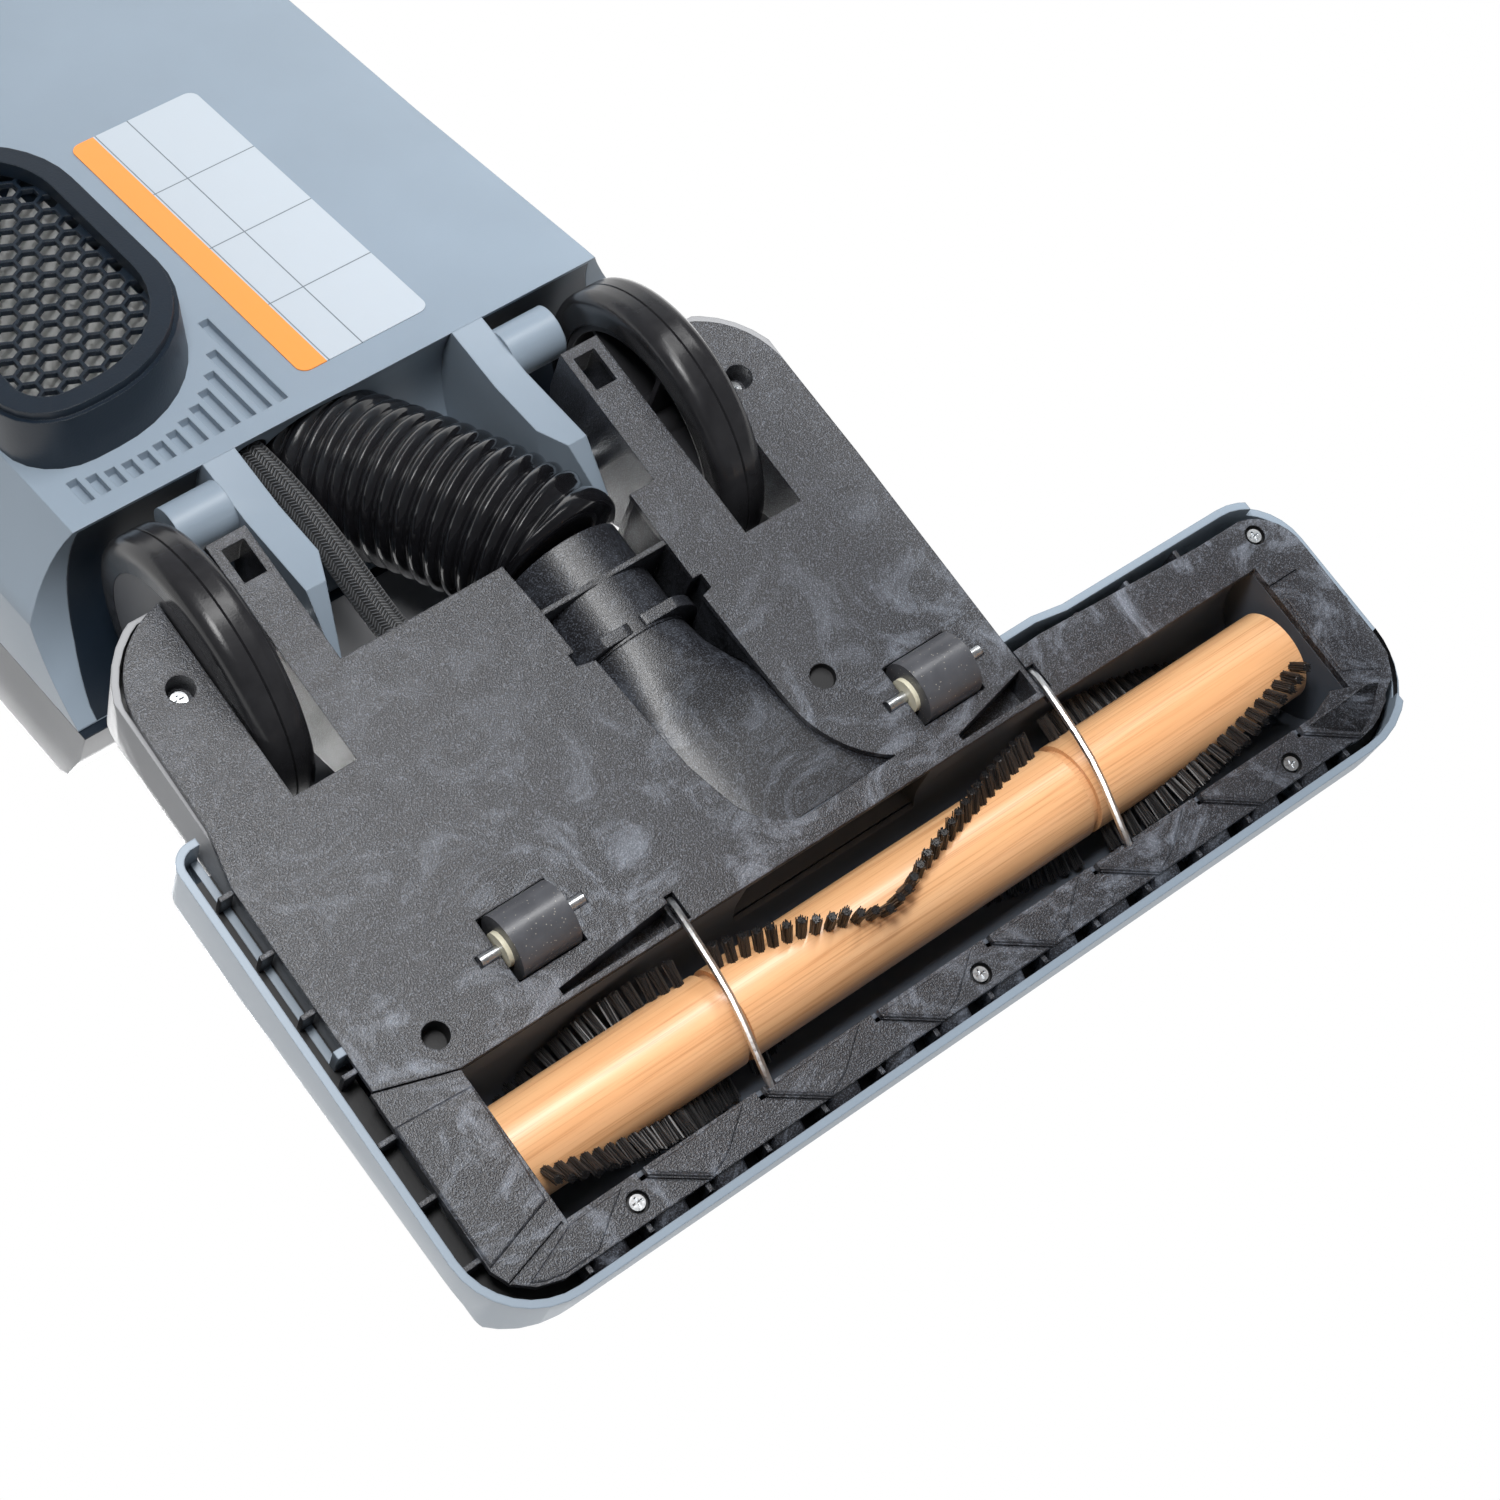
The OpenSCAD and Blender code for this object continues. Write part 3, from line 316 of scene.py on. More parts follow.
def lacquered_maple(base):
    """Turned maple under clear lacquer: long fine grain along the roll, bands of warmer wood, a wet sheen."""
    material, tree, shader, point = finish_base("lacquered_maple")
    fibre = add(tree, "ShaderNodeMapping", {"Vector": point, "Scale": (1 / 70, 1 / 0.8, 1 / 0.8)})
    grain = add(
        tree,
        "ShaderNodeTexNoise",
        {"Vector": fibre.outputs[0], "Scale": 1.0, "Detail": 6.0, "Roughness": 0.65},
    )
    figure = add(tree, "ShaderNodeMapping", {"Vector": point, "Scale": (1 / 130, 1 / 7, 1 / 7)})
    bands = add(
        tree,
        "ShaderNodeTexNoise",
        {"Vector": figure.outputs[0], "Scale": 1.0, "Detail": 3.0, "Distortion": 0.8},
    )
    warm = add(
        tree,
        "ShaderNodeMixRGB",
        {"Fac": bands.outputs["Fac"], "Color1": (*[c * 0.92 for c in base], 1), "Color2": linear("#EFC494")},
    )
    share = add(
        tree,
        "ShaderNodeMapRange",
        {"Value": grain.outputs["Fac"], "From Min": 0.5, "From Max": 0.66, "To Max": 0.55},
    )
    streak = add(
        tree,
        "ShaderNodeMixRGB",
        {"Fac": share.outputs[0], "Color1": warm.outputs[0], "Color2": linear("#B1703C")},
    )
    bump = add(tree, "ShaderNodeBump", {"Height": grain.outputs["Fac"], "Distance": 0.05 * MM})
    fill(
        tree,
        shader,
        {
            "Base Color": streak.outputs[0],
            "Normal": bump.outputs[0],
            "Roughness": 0.42,
            "Coat Weight": 0.9,
            "Coat Roughness": 0.3,
        },
    )
    return material


def nylon_bristle():
    """Stiff nylon filament: brown-black with a cold sheen along each hair."""
    material, tree, shader, point = finish_base("nylon_bristle")
    hairs = add(tree, "ShaderNodeTexNoise", {"Vector": point, "Scale": 1 / 0.9, "Detail": 1.0})
    tone = add(
        tree,
        "ShaderNodeMixRGB",
        {"Fac": hairs.outputs["Fac"], "Color1": linear("#0F0F10"), "Color2": linear("#2A2A2C")},
    )
    fill(tree, shader, {"Base Color": tone.outputs[0], "Roughness": 0.38})
    return material


def hose_vinyl():
    """Flexible vinyl hose: glossy black with a slight ripple, so each rib carries a bright streak."""
    material, tree, shader, point = finish_base("glossy_vinyl")
    ripple = add(tree, "ShaderNodeTexNoise", {"Vector": point, "Scale": 1 / 14, "Detail": 3.0})
    gloss = add(tree, "ShaderNodeMapRange", {"Value": ripple.outputs["Fac"], "To Min": 0.1, "To Max": 0.2})
    tone = add(
        tree,
        "ShaderNodeMixRGB",
        {"Fac": ripple.outputs["Fac"], "Color1": linear("#0B0B0D"), "Color2": linear("#19191C")},
    )
    bump = add(tree, "ShaderNodeBump", {"Height": ripple.outputs["Fac"], "Distance": 0.25 * MM})
    fill(
        tree,
        shader,
        {
            "Base Color": tone.outputs[0],
            "Roughness": gloss.outputs[0],
            "Normal": bump.outputs[0],
            "Coat Weight": 1.0,
            "Coat Roughness": 0.06,
        },
    )
    return material


def braided_sleeve(pitch, columns):
    """Braided sleeve: pale strands in herringbone columns on black, each a small ridge on its own map.

    The strands are drawn coarser than real ones, so that they show.
    """
    material, tree, shader, _ = finish_base("braided_sleeve")
    where = add(tree, "ShaderNodeUVMap", uv_map="sleeve").outputs[0]
    split = add(tree, "ShaderNodeSeparateXYZ", {0: where})
    across = add(
        tree, "ShaderNodeMath", {0: split.outputs["X"], 1: float(columns * 2)}, operation="MULTIPLY"
    ).outputs[0]
    lean = add(tree, "ShaderNodeMath", {0: across, 1: 1.0}, operation="PINGPONG").outputs[0]
    along = add(
        tree, "ShaderNodeMath", {0: split.outputs["Y"], 1: 1 / pitch, 2: lean}, operation="MULTIPLY_ADD"
    ).outputs[0]
    strand = add(tree, "ShaderNodeMath", {0: along, 1: 0.5}, operation="PINGPONG").outputs[0]
    seam = add(tree, "ShaderNodeMath", {0: lean, 1: 0.5}, operation="PINGPONG").outputs[0]
    pale = add(tree, "ShaderNodeMapRange", {"Value": strand, "From Min": 0.3, "From Max": 0.46}).outputs[0]
    open_seam = add(tree, "ShaderNodeMapRange", {"Value": seam, "From Min": 0.02, "From Max": 0.1}).outputs[0]
    share = add(tree, "ShaderNodeMath", {0: pale, 1: open_seam}, operation="MULTIPLY").outputs[0]
    tone = add(
        tree, "ShaderNodeMixRGB", {"Fac": share, "Color1": linear("#060607"), "Color2": linear("#5E6064")}
    )
    bump = add(tree, "ShaderNodeBump", {"Height": strand, "Distance": 0.5 * MM})
    fill(
        tree,
        shader,
        {"Base Color": tone.outputs[0], "Normal": bump.outputs[0], "Roughness": 0.5, "Sheen Weight": 0.15},
    )
    return material


def printed_film(stripe):
    """Printed polyester label film: pale grey-blue with a warm band along one edge and thin ruled lines."""
    band_edge = -3.2 * MM
    ruled_along = [(at * MM, 0.25 * MM) for at in (98, 134, 170)]
    ruled_across = [(at * MM, 0.22 * MM) for at in (-17, -4)]
    material, tree, shader, _ = finish_base("printed_film")
    place = add(tree, "ShaderNodeTexCoord").outputs["Object"]
    back = BODY_FRAME.inverted()
    turned = add(
        tree,
        "ShaderNodeMapping",
        {"Vector": place, "Location": tuple(back.to_translation()), "Rotation": tuple(back.to_euler())},
    )
    split = add(tree, "ShaderNodeSeparateXYZ", {0: turned.outputs[0]})
    across, along = split.outputs["X"], split.outputs["Y"]
    band = add(tree, "ShaderNodeMath", {0: across, 1: band_edge}, operation="GREATER_THAN").outputs[0]
    lines = 0.0
    for socket, ruled in ((along, ruled_along), (across, ruled_across)):
        for at, width in ruled:
            near = add(tree, "ShaderNodeMath", {0: socket, 1: at, 2: width}, operation="COMPARE").outputs[0]
            lines = add(tree, "ShaderNodeMath", {0: lines, 1: near}, operation="MAXIMUM").outputs[0]
    paper = add(
        tree, "ShaderNodeMixRGB", {"Fac": lines, "Color1": linear("#B4BCC4"), "Color2": linear("#6E767E")}
    )
    tone = add(tree, "ShaderNodeMixRGB", {"Fac": band, "Color1": paper.outputs[0], "Color2": (*stripe, 1)})
    fill(tree, shader, {"Base Color": tone.outputs[0], "Roughness": 0.3})
    return material


def woven(name, first, second, thread, rough=0.85):
    """Paper or cloth sheet: fine crossed fibres that catch the light."""
    material, tree, shader, point = finish_base(name)
    fibres = add(
        tree, "ShaderNodeTexNoise", {"Vector": point, "Scale": 1 / thread, "Detail": 4.0, "Roughness": 0.7}
    )
    tone = add(
        tree,
        "ShaderNodeMixRGB",
        {"Fac": fibres.outputs["Fac"], "Color1": linear(first), "Color2": linear(second)},
    )
    bump = add(tree, "ShaderNodeBump", {"Height": fibres.outputs["Fac"], "Distance": 0.12 * MM})
    fill(tree, shader, {"Base Color": tone.outputs[0], "Normal": bump.outputs[0], "Roughness": rough})
    return material


def smooth_edges(piece, angle=32.0):
    """Joins a frame node's loose triangles for shading and keeps its true corners sharp."""
    shade_smooth(piece.data)
    weld = piece.modifiers.new("Join", "WELD")
    weld.merge_threshold = 0.005 * MM
    split = piece.modifiers.new("Corners", "EDGE_SPLIT")
    split.split_angle = math.radians(angle)


def dress(piece, material):
    piece.data.materials.clear()
    piece.data.materials.append(material)


# ---------------------------------------------------------------- repeated shapes


def rule(name, inputs):
    """A Geometry Nodes tree with named inputs, and its two end nodes."""
    tree = bpy.data.node_groups.new(name, "GeometryNodeTree")
    tree.interface.new_socket("Geometry", in_out="INPUT", socket_type="NodeSocketGeometry")
    for label, kind, value in inputs:
        socket = tree.interface.new_socket(label, in_out="INPUT", socket_type="NodeSocket" + kind)
        if value is not None:
            socket.default_value = value
    tree.interface.new_socket("Geometry", in_out="OUTPUT", socket_type="NodeSocketGeometry")
    return tree, tree.nodes.new("NodeGroupInput"), tree.nodes.new("NodeGroupOutput")


def grow(name, tree, values, material, base=None):
    """Runs a tree on a mesh and keeps the result as a plain mesh piece with its place in its mesh."""
    seed = put(name + "_rule", base or bpy.data.meshes.new(name + "_start"))
    made = seed.modifiers.new("Rule", "NODES")
    made.node_group = tree
    for socket in tree.interface.items_tree:
        if socket.in_out == "INPUT" and socket.name in values:
            made[socket.identifier] = values[socket.name]
    seen = seed.evaluated_get(bpy.context.evaluated_depsgraph_get())
    mesh = bpy.data.meshes.new_from_object(seen)
    bpy.data.objects.remove(seed)
    mesh.name = name
    if not mesh.polygons:
        raise RuntimeError(name + " came out empty")
    mesh.materials.clear()
    mesh.materials.append(material)
    return put(name, mesh)


def smooth_route(points, step):
    """A mesh line through the points along a Catmull-Rom curve, with a point every step metres."""
    knots = [Vector(p) for p in points]
    knots = [2 * knots[0] - knots[1], *knots, 2 * knots[-1] - knots[-2]]
    line = []
    for a, b, c, d in zip(knots, knots[1:], knots[2:], knots[3:]):
        steps = max(2, round((c - b).length / step))
        for k in range(steps):
            t = k / steps
            bend, twist = 2 * a - 5 * b + 4 * c - d, 3 * b - a - 3 * c + d
            line.append(0.5 * (2 * b + (c - a) * t + bend * t * t + twist * t**3))
    line.append(knots[-2])
    mesh = bpy.data.meshes.new("route")
    mesh.from_pydata(line, [(k, k + 1) for k in range(len(line) - 1)], [])
    return mesh


def corrugated_tube():
    """Tree: a tube along a line, ribbed at a steady pitch and closed at both ends, with its own map."""
    tree, start, end = rule(
        "Ribbed tube",
        [
            ("Radius", "Float", 0.02),
            ("Groove depth", "Float", 0.002),
            ("Rib pitch", "Float", 0.007),
            ("Step", "Float", 0.0006),
            ("Sides", "Int", 48),
            ("Finish", "Material", None),
        ],
    )
    line = add(tree, "GeometryNodeMeshToCurve", {"Mesh": start.outputs["Geometry"]})
    fine = add(
        tree,
        "GeometryNodeResampleCurve",
        {"Curve": line.outputs[0], "Length": start.outputs["Step"]},
        mode="LENGTH",
    )
    way = add(tree, "GeometryNodeSplineParameter")
    phase = add(
        tree, "ShaderNodeMath", {0: way.outputs["Length"], 1: start.outputs["Rib pitch"]}, operation="DIVIDE"
    )
    turn = add(tree, "ShaderNodeMath", {0: phase.outputs[0], 1: math.pi}, operation="MULTIPLY")
    swing = add(tree, "ShaderNodeMath", {0: turn.outputs[0]}, operation="SINE")
    size = add(tree, "ShaderNodeMath", {0: swing.outputs[0]}, operation="ABSOLUTE")
    # A power below one widens the crests and narrows the grooves.
    crest = add(tree, "ShaderNodeMath", {0: size.outputs[0], 1: 0.7}, operation="POWER")
    dip = add(tree, "ShaderNodeMath", {0: 1.0, 1: crest.outputs[0]}, operation="SUBTRACT")
    inset = add(
        tree, "ShaderNodeMath", {0: dip.outputs[0], 1: start.outputs["Groove depth"]}, operation="MULTIPLY"
    )
    wall = add(
        tree, "ShaderNodeMath", {0: start.outputs["Radius"], 1: inset.outputs[0]}, operation="SUBTRACT"
    )
    tail = add(tree, "GeometryNodeCurveEndpointSelection", {"Start Size": 1, "End Size": 1})
    closed = add(
        tree,
        "GeometryNodeSwitch",
        {"Switch": tail.outputs[0], "False": wall.outputs[0], "True": 0.00001},
        input_type="FLOAT",
    )
    along = add(
        tree, "GeometryNodeCaptureAttribute", {"Geometry": fine.outputs[0]}, domain="POINT"
    )
    along.capture_items.new("FLOAT", "Along")
    tree.links.new(way.outputs["Length"], along.inputs["Along"])
    shaped = add(
        tree,
        "GeometryNodeSetCurveRadius",
        {"Curve": along.outputs["Geometry"], "Radius": closed.outputs[0]},
    )
    ring = add(
        tree,
        "GeometryNodeCurveArc",
        {"Resolution": start.outputs["Sides"], "Radius": 1.0, "Start Angle": 0.0, "Sweep Angle": 2 * math.pi},
    )
    ring_way = add(tree, "GeometryNodeSplineParameter")
    around = add(tree, "GeometryNodeCaptureAttribute", {"Geometry": ring.outputs[0]}, domain="POINT")
    around.capture_items.new("FLOAT", "Around")
    tree.links.new(ring_way.outputs["Factor"], around.inputs["Around"])
    skin = add(
        tree,
        "GeometryNodeCurveToMesh",
        {"Curve": shaped.outputs[0], "Profile Curve": around.outputs["Geometry"]},
    )
    if "Scale" in skin.inputs:
        tree.links.new(closed.outputs[0], skin.inputs["Scale"])
    pair = add(
        tree, "ShaderNodeCombineXYZ", {"X": around.outputs["Around"], "Y": along.outputs["Along"]}
    )
    mapped = add(
        tree,
        "GeometryNodeStoreNamedAttribute",
        {"Geometry": skin.outputs[0], "Name": "sleeve", "Value": pair.outputs[0]},
        data_type="FLOAT2",
        domain="CORNER",
    )
    sealed = add(tree, "GeometryNodeMergeByDistance", {"Geometry": mapped.outputs[0], "Distance": 0.00003})
    smooth = add(tree, "GeometryNodeSetShadeSmooth", {"Geometry": sealed.outputs[0]})
    real = add(tree, "GeometryNodeRealizeInstances", {"Geometry": smooth.outputs[0]})
    done = add(
        tree, "GeometryNodeSetMaterial", {"Geometry": real.outputs[0], "Material": start.outputs["Finish"]}
    )
    tree.links.new(done.outputs[0], end.inputs[0])
    return tree


def skin(shape, rows, closed=True, ends=True):
    """Joins rows of points with faces: closed rows run right round, and ends shuts the first and last row."""
    count = len(rows[0])
    for near, far in zip(rows, rows[1:]):
        for k in range(count if closed else count - 1):
            after = (k + 1) % count
            shape.faces.new(list(dict.fromkeys((near[k], near[after], far[after], far[k]))))
    if ends:
        shape.faces.new(rows[0][::-1])
        shape.faces.new(rows[-1])


def round_steps(count, start=0.0):
    """The cosine and sine of equal turns round a circle."""
    turns = [start + 2 * math.pi * k / count for k in range(count)]
    return [(math.cos(turn), math.sin(turn)) for turn in turns]


GOLDEN_TURN = 2.39996  # each hair stands this much further round than the last, which packs them evenly
TUFT_SINK = 0.6 * MM  # a tuft starts this far inside the wood


def bristle_tuft(root, reach, hairs):
    """One tuft standing along +Z: stiff hairs packed at the root that part a little towards their cut tips.

    The hairs are drawn thicker than real ones and stand round a solid core, so that the tuft reads as full.
    """
    draw = random.Random(11)
    shape = bmesh.new()
    for k in range(hairs):
        far = math.sqrt((k + 0.5) / hairs) * (root + 0.1 * MM)
        turn = k * GOLDEN_TURN
        out = Vector((math.cos(turn), math.sin(turn), 0)) * far
        part = out * draw.uniform(0.0, 0.3)
        part += Vector((draw.uniform(-1, 1), draw.uniform(-1, 1), 0)) * 0.2 * MM
        top = reach * draw.uniform(0.94, 1.0)
        rings = []
        for share, thick in ((0, 0.3), (0.55, 0.3), (1, 0.24)):
            centre = out + part * share**1.5
            centre.z = -TUFT_SINK + (top + TUFT_SINK) * share
            corners = round_steps(3, turn)
            rings.append([shape.verts.new(centre + Vector((c, s, 0)) * thick * MM) for c, s in corners])
        skin(shape, rings)
    rings = []
    for share, wide in ((0.0, 0.9), (0.9, 1.0), (0.93, 0.8)):
        centre = Vector((0, 0, -TUFT_SINK + (reach + TUFT_SINK) * share))
        rings.append([shape.verts.new(centre + Vector((c, s, 0)) * root * wide) for c, s in round_steps(8)])
    skin(shape, rings)
    mesh = bpy.data.meshes.new("tuft")
    shape.to_mesh(mesh)
    shape.free()
    return mesh


VEE_AT = -36  # the rows of tufts meet here along the roll, mm
ROW_REACH = {"left": 142, "right": 170}  # from the vee to the end of the rows on each side, mm
ROW_TWIST, ROW_LEAN = math.radians(157), math.radians(-10)  # turn from vee to end, and where it starts
GUARD_GROOVES = (22, -119)  # grooves of the roll in which the wire guards run, mm
GROOVE_HALF = 4.0


def tuft_rows():
    """Tree: two rows of tufts wound from both ends of the roll to a vee, leaving out the guard grooves."""
    tree, start, end = rule(
        "Tuft rows",
        [
            ("Tufts", "Int", 72),
            ("Pitch", "Float", 0.0043),
            ("First", "Float", -0.206),
            ("Roll radius", "Float", 0.016),
            ("Seed", "Int", 3),
            ("Tuft", "Object", None),
            ("Finish", "Material", None),
        ],
    )
    step = add(tree, "ShaderNodeCombineXYZ", {"X": start.outputs["Pitch"]})
    first = add(tree, "ShaderNodeCombineXYZ", {"X": start.outputs["First"]})
    row = add(
        tree,
        "GeometryNodeMeshLine",
        {"Count": start.outputs["Tufts"], "Start Location": first.outputs[0], "Offset": step.outputs[0]},
    )
    position = add(tree, "GeometryNodeInputPosition")
    where = add(tree, "ShaderNodeSeparateXYZ", {0: position.outputs[0]}).outputs["X"]
    from_vee = add(tree, "ShaderNodeMath", {0: where, 1: -VEE_AT * MM}, operation="ADD").outputs[0]
    left, right = [
        add(tree, "ShaderNodeMath", {0: from_vee, 1: reach * MM}, operation="DIVIDE").outputs[0]
        for reach in (ROW_REACH["left"], -ROW_REACH["right"])
    ]
    share = add(tree, "ShaderNodeMath", {0: left, 1: right}, operation="MAXIMUM").outputs[0]
    turn = add(
        tree, "ShaderNodeMath", {0: share, 1: ROW_TWIST, 2: ROW_LEAN}, operation="MULTIPLY_ADD"
    ).outputs[0]
    gaps = [
        add(
            tree, "ShaderNodeMath", {0: where, 1: at * MM, 2: GROOVE_HALF * MM}, operation="COMPARE"
        ).outputs[0]
        for at in GUARD_GROOVES
    ]
    gone = add(tree, "ShaderNodeMath", {0: gaps[0], 1: gaps[1]}, operation="MAXIMUM").outputs[0]
    join = add(tree, "GeometryNodeJoinGeometry")
    tuft = add(tree, "GeometryNodeObjectInfo", {"Object": start.outputs["Tuft"]})
    keep = add(tree, "GeometryNodeDeleteGeometry", {"Geometry": row.outputs[0], "Selection": gone})
    for half in (0.0, math.pi):
        angle = add(tree, "ShaderNodeMath", {0: turn, 1: math.pi + half}, operation="ADD").outputs[0]
        aim = add(tree, "ShaderNodeCombineXYZ", {"X": angle})
        sine = add(tree, "ShaderNodeMath", {0: angle}, operation="SINE").outputs[0]
        cosine = add(tree, "ShaderNodeMath", {0: angle}, operation="COSINE").outputs[0]
        across = add(
            tree, "ShaderNodeMath", {0: sine, 1: start.outputs["Roll radius"]}, operation="MULTIPLY"
        ).outputs[0]
        back = add(tree, "ShaderNodeMath", {0: across, 1: -1.0}, operation="MULTIPLY").outputs[0]
        up = add(
            tree, "ShaderNodeMath", {0: cosine, 1: start.outputs["Roll radius"]}, operation="MULTIPLY"
        ).outputs[0]
        surface = add(tree, "ShaderNodeCombineXYZ", {"Y": back, "Z": up})
        angled = add(tree, "GeometryNodeCaptureAttribute", {"Geometry": keep.outputs[0]}, domain="POINT")
        angled.capture_items.new("VECTOR", "Aim")
        tree.links.new(aim.outputs[0], angled.inputs["Aim"])
        moved = add(
            tree,
            "GeometryNodeSetPosition",
            {"Geometry": angled.outputs["Geometry"], "Offset": surface.outputs[0]},
        )
        placed = add(
            tree,
            "GeometryNodeInstanceOnPoints",
            {
                "Points": moved.outputs[0],
                "Instance": tuft.outputs["Geometry"],
                "Rotation": angled.outputs["Aim"],
            },
        )
        spin = add(
            tree,
            "FunctionNodeRandomValue",
            {"Min": (-0.06, -0.07, 0.0), "Max": (0.06, 0.07, 2 * math.pi), "Seed": start.outputs["Seed"]},
            data_type="FLOAT_VECTOR",
        )
        loose = add(
            tree, "GeometryNodeRotateInstances", {"Instances": placed.outputs[0], "Rotation": spin.outputs[0]}
        )
        tree.links.new(loose.outputs[0], join.inputs[0])
    real = add(tree, "GeometryNodeRealizeInstances", {"Geometry": join.outputs[0]})
    done = add(
        tree, "GeometryNodeSetMaterial", {"Geometry": real.outputs[0], "Material": start.outputs["Finish"]}
    )
    tree.links.new(done.outputs[0], end.inputs[0])
    return tree


def offset_outline(points, inset):
    """A counter-clockwise outline drawn in by inset, corner by corner."""
    drawn = []
    for before, here, after in zip([points[-1], *points[:-1]], points, [*points[1:], points[0]]):
        a, b, c = Vector(before), Vector(here), Vector(after)
        first, second = (b - a).normalized(), (c - b).normalized()
        left_a, left_b = Vector((-first.y, first.x)), Vector((-second.y, second.x))
        drawn.append(b + (left_a + left_b) * (inset / max(0.3, 1 + left_a.dot(left_b))))
    return drawn


def facet(shape, outline, rise, slope=0.45, sink=0.4):
    """Adds a raised panel with sloped sides to the sole; the outline is in millimetres on the sole."""
    turned = sum(a[0] * b[1] - b[0] * a[1] for a, b in zip(outline, [*outline[1:], outline[0]]))
    outline = outline if turned > 0 else outline[::-1]
    foot = [shape.verts.new(Vector((x, y, sink)) * MM) for x, y in outline]
    rim = [shape.verts.new(Vector((x, y, -rise + slope)) * MM) for x, y in outline]
    top = [shape.verts.new(Vector((p.x, p.y, -rise)) * MM) for p in offset_outline(outline, slope)]
    skin(shape, (foot, rim, top))


def mesh_piece(name, shape, material, place=None, smooth=None):
    """Turns a bmesh into a finished piece at the origin, moved into its place in its mesh."""
    mesh = bpy.data.meshes.new(name)
    bmesh.ops.recalc_face_normals(shape, faces=shape.faces[:])
    shape.to_mesh(mesh)
    shape.free()
    if place:
        mesh.transform(place)
    mesh.materials.append(material)
    piece = put(name, mesh)
    if smooth:
        shade_smooth(mesh)
        piece.modifiers.new("Corners", "EDGE_SPLIT").split_angle = math.radians(smooth)
    return piece


PANEL_WIDTH, PANEL_PITCH, PANEL_FIRST, PANEL_COUNT = 12.4, 21.9, -193.3, 14


def apron_panel():
    """One panel of the apron outside the sole, dished across and falling away towards the shell."""
    rear, deep, steps = -66.4, 9.0, 12
    shape = bmesh.new()
    rows = []
    for k in range(steps + 1):
        x = PANEL_WIDTH * k / steps
        edge = min(x, PANEL_WIDTH - x)
        fall = 3.2 * max(0.0, 1 - edge / 2.2) ** 2
        places = [(x, rear - 4.8 * t, 0.9 + 2.6 * t**1.3 + fall) for t in (0, 0.12, 0.4, 0.7, 1)]
        rows.append([shape.verts.new(Vector(place) * MM) for place in places])
    skin(shape, rows, closed=False, ends=False)
    for row in (rows[0][::-1], rows[-1]):
        foot = [shape.verts.new((v.co.x, v.co.y, deep * MM)) for v in row]
        skin(shape, (row, foot), closed=False, ends=False)
    mesh = bpy.data.meshes.new("panel")
    shape.to_mesh(mesh)
    shape.free()
    return mesh


def panels_along():
    """Tree: copies of one panel in a row at a steady pitch."""
    tree, start, end = rule(
        "Panel row",
        [
            ("Count", "Int", 15),
            ("Pitch", "Float", 0.0219),
            ("First", "Float", -0.1935),
            ("Panel", "Object", None),
            ("Finish", "Material", None),
        ],
    )
    step = add(tree, "ShaderNodeCombineXYZ", {"X": start.outputs["Pitch"]})
    first = add(tree, "ShaderNodeCombineXYZ", {"X": start.outputs["First"]})
    row = add(
        tree,
        "GeometryNodeMeshLine",
        {"Count": start.outputs["Count"], "Start Location": first.outputs[0], "Offset": step.outputs[0]},
    )
    panel = add(tree, "GeometryNodeObjectInfo", {"Object": start.outputs["Panel"]})
    placed = add(
        tree,
        "GeometryNodeInstanceOnPoints",
        {"Points": row.outputs[0], "Instance": panel.outputs["Geometry"]},
    )
    real = add(tree, "GeometryNodeRealizeInstances", {"Geometry": placed.outputs[0]})
    done = add(
        tree, "GeometryNodeSetMaterial", {"Geometry": real.outputs[0], "Material": start.outputs["Finish"]}
    )
    tree.links.new(done.outputs[0], end.inputs[0])
    return tree


# ---------------------------------------------------------------- operators


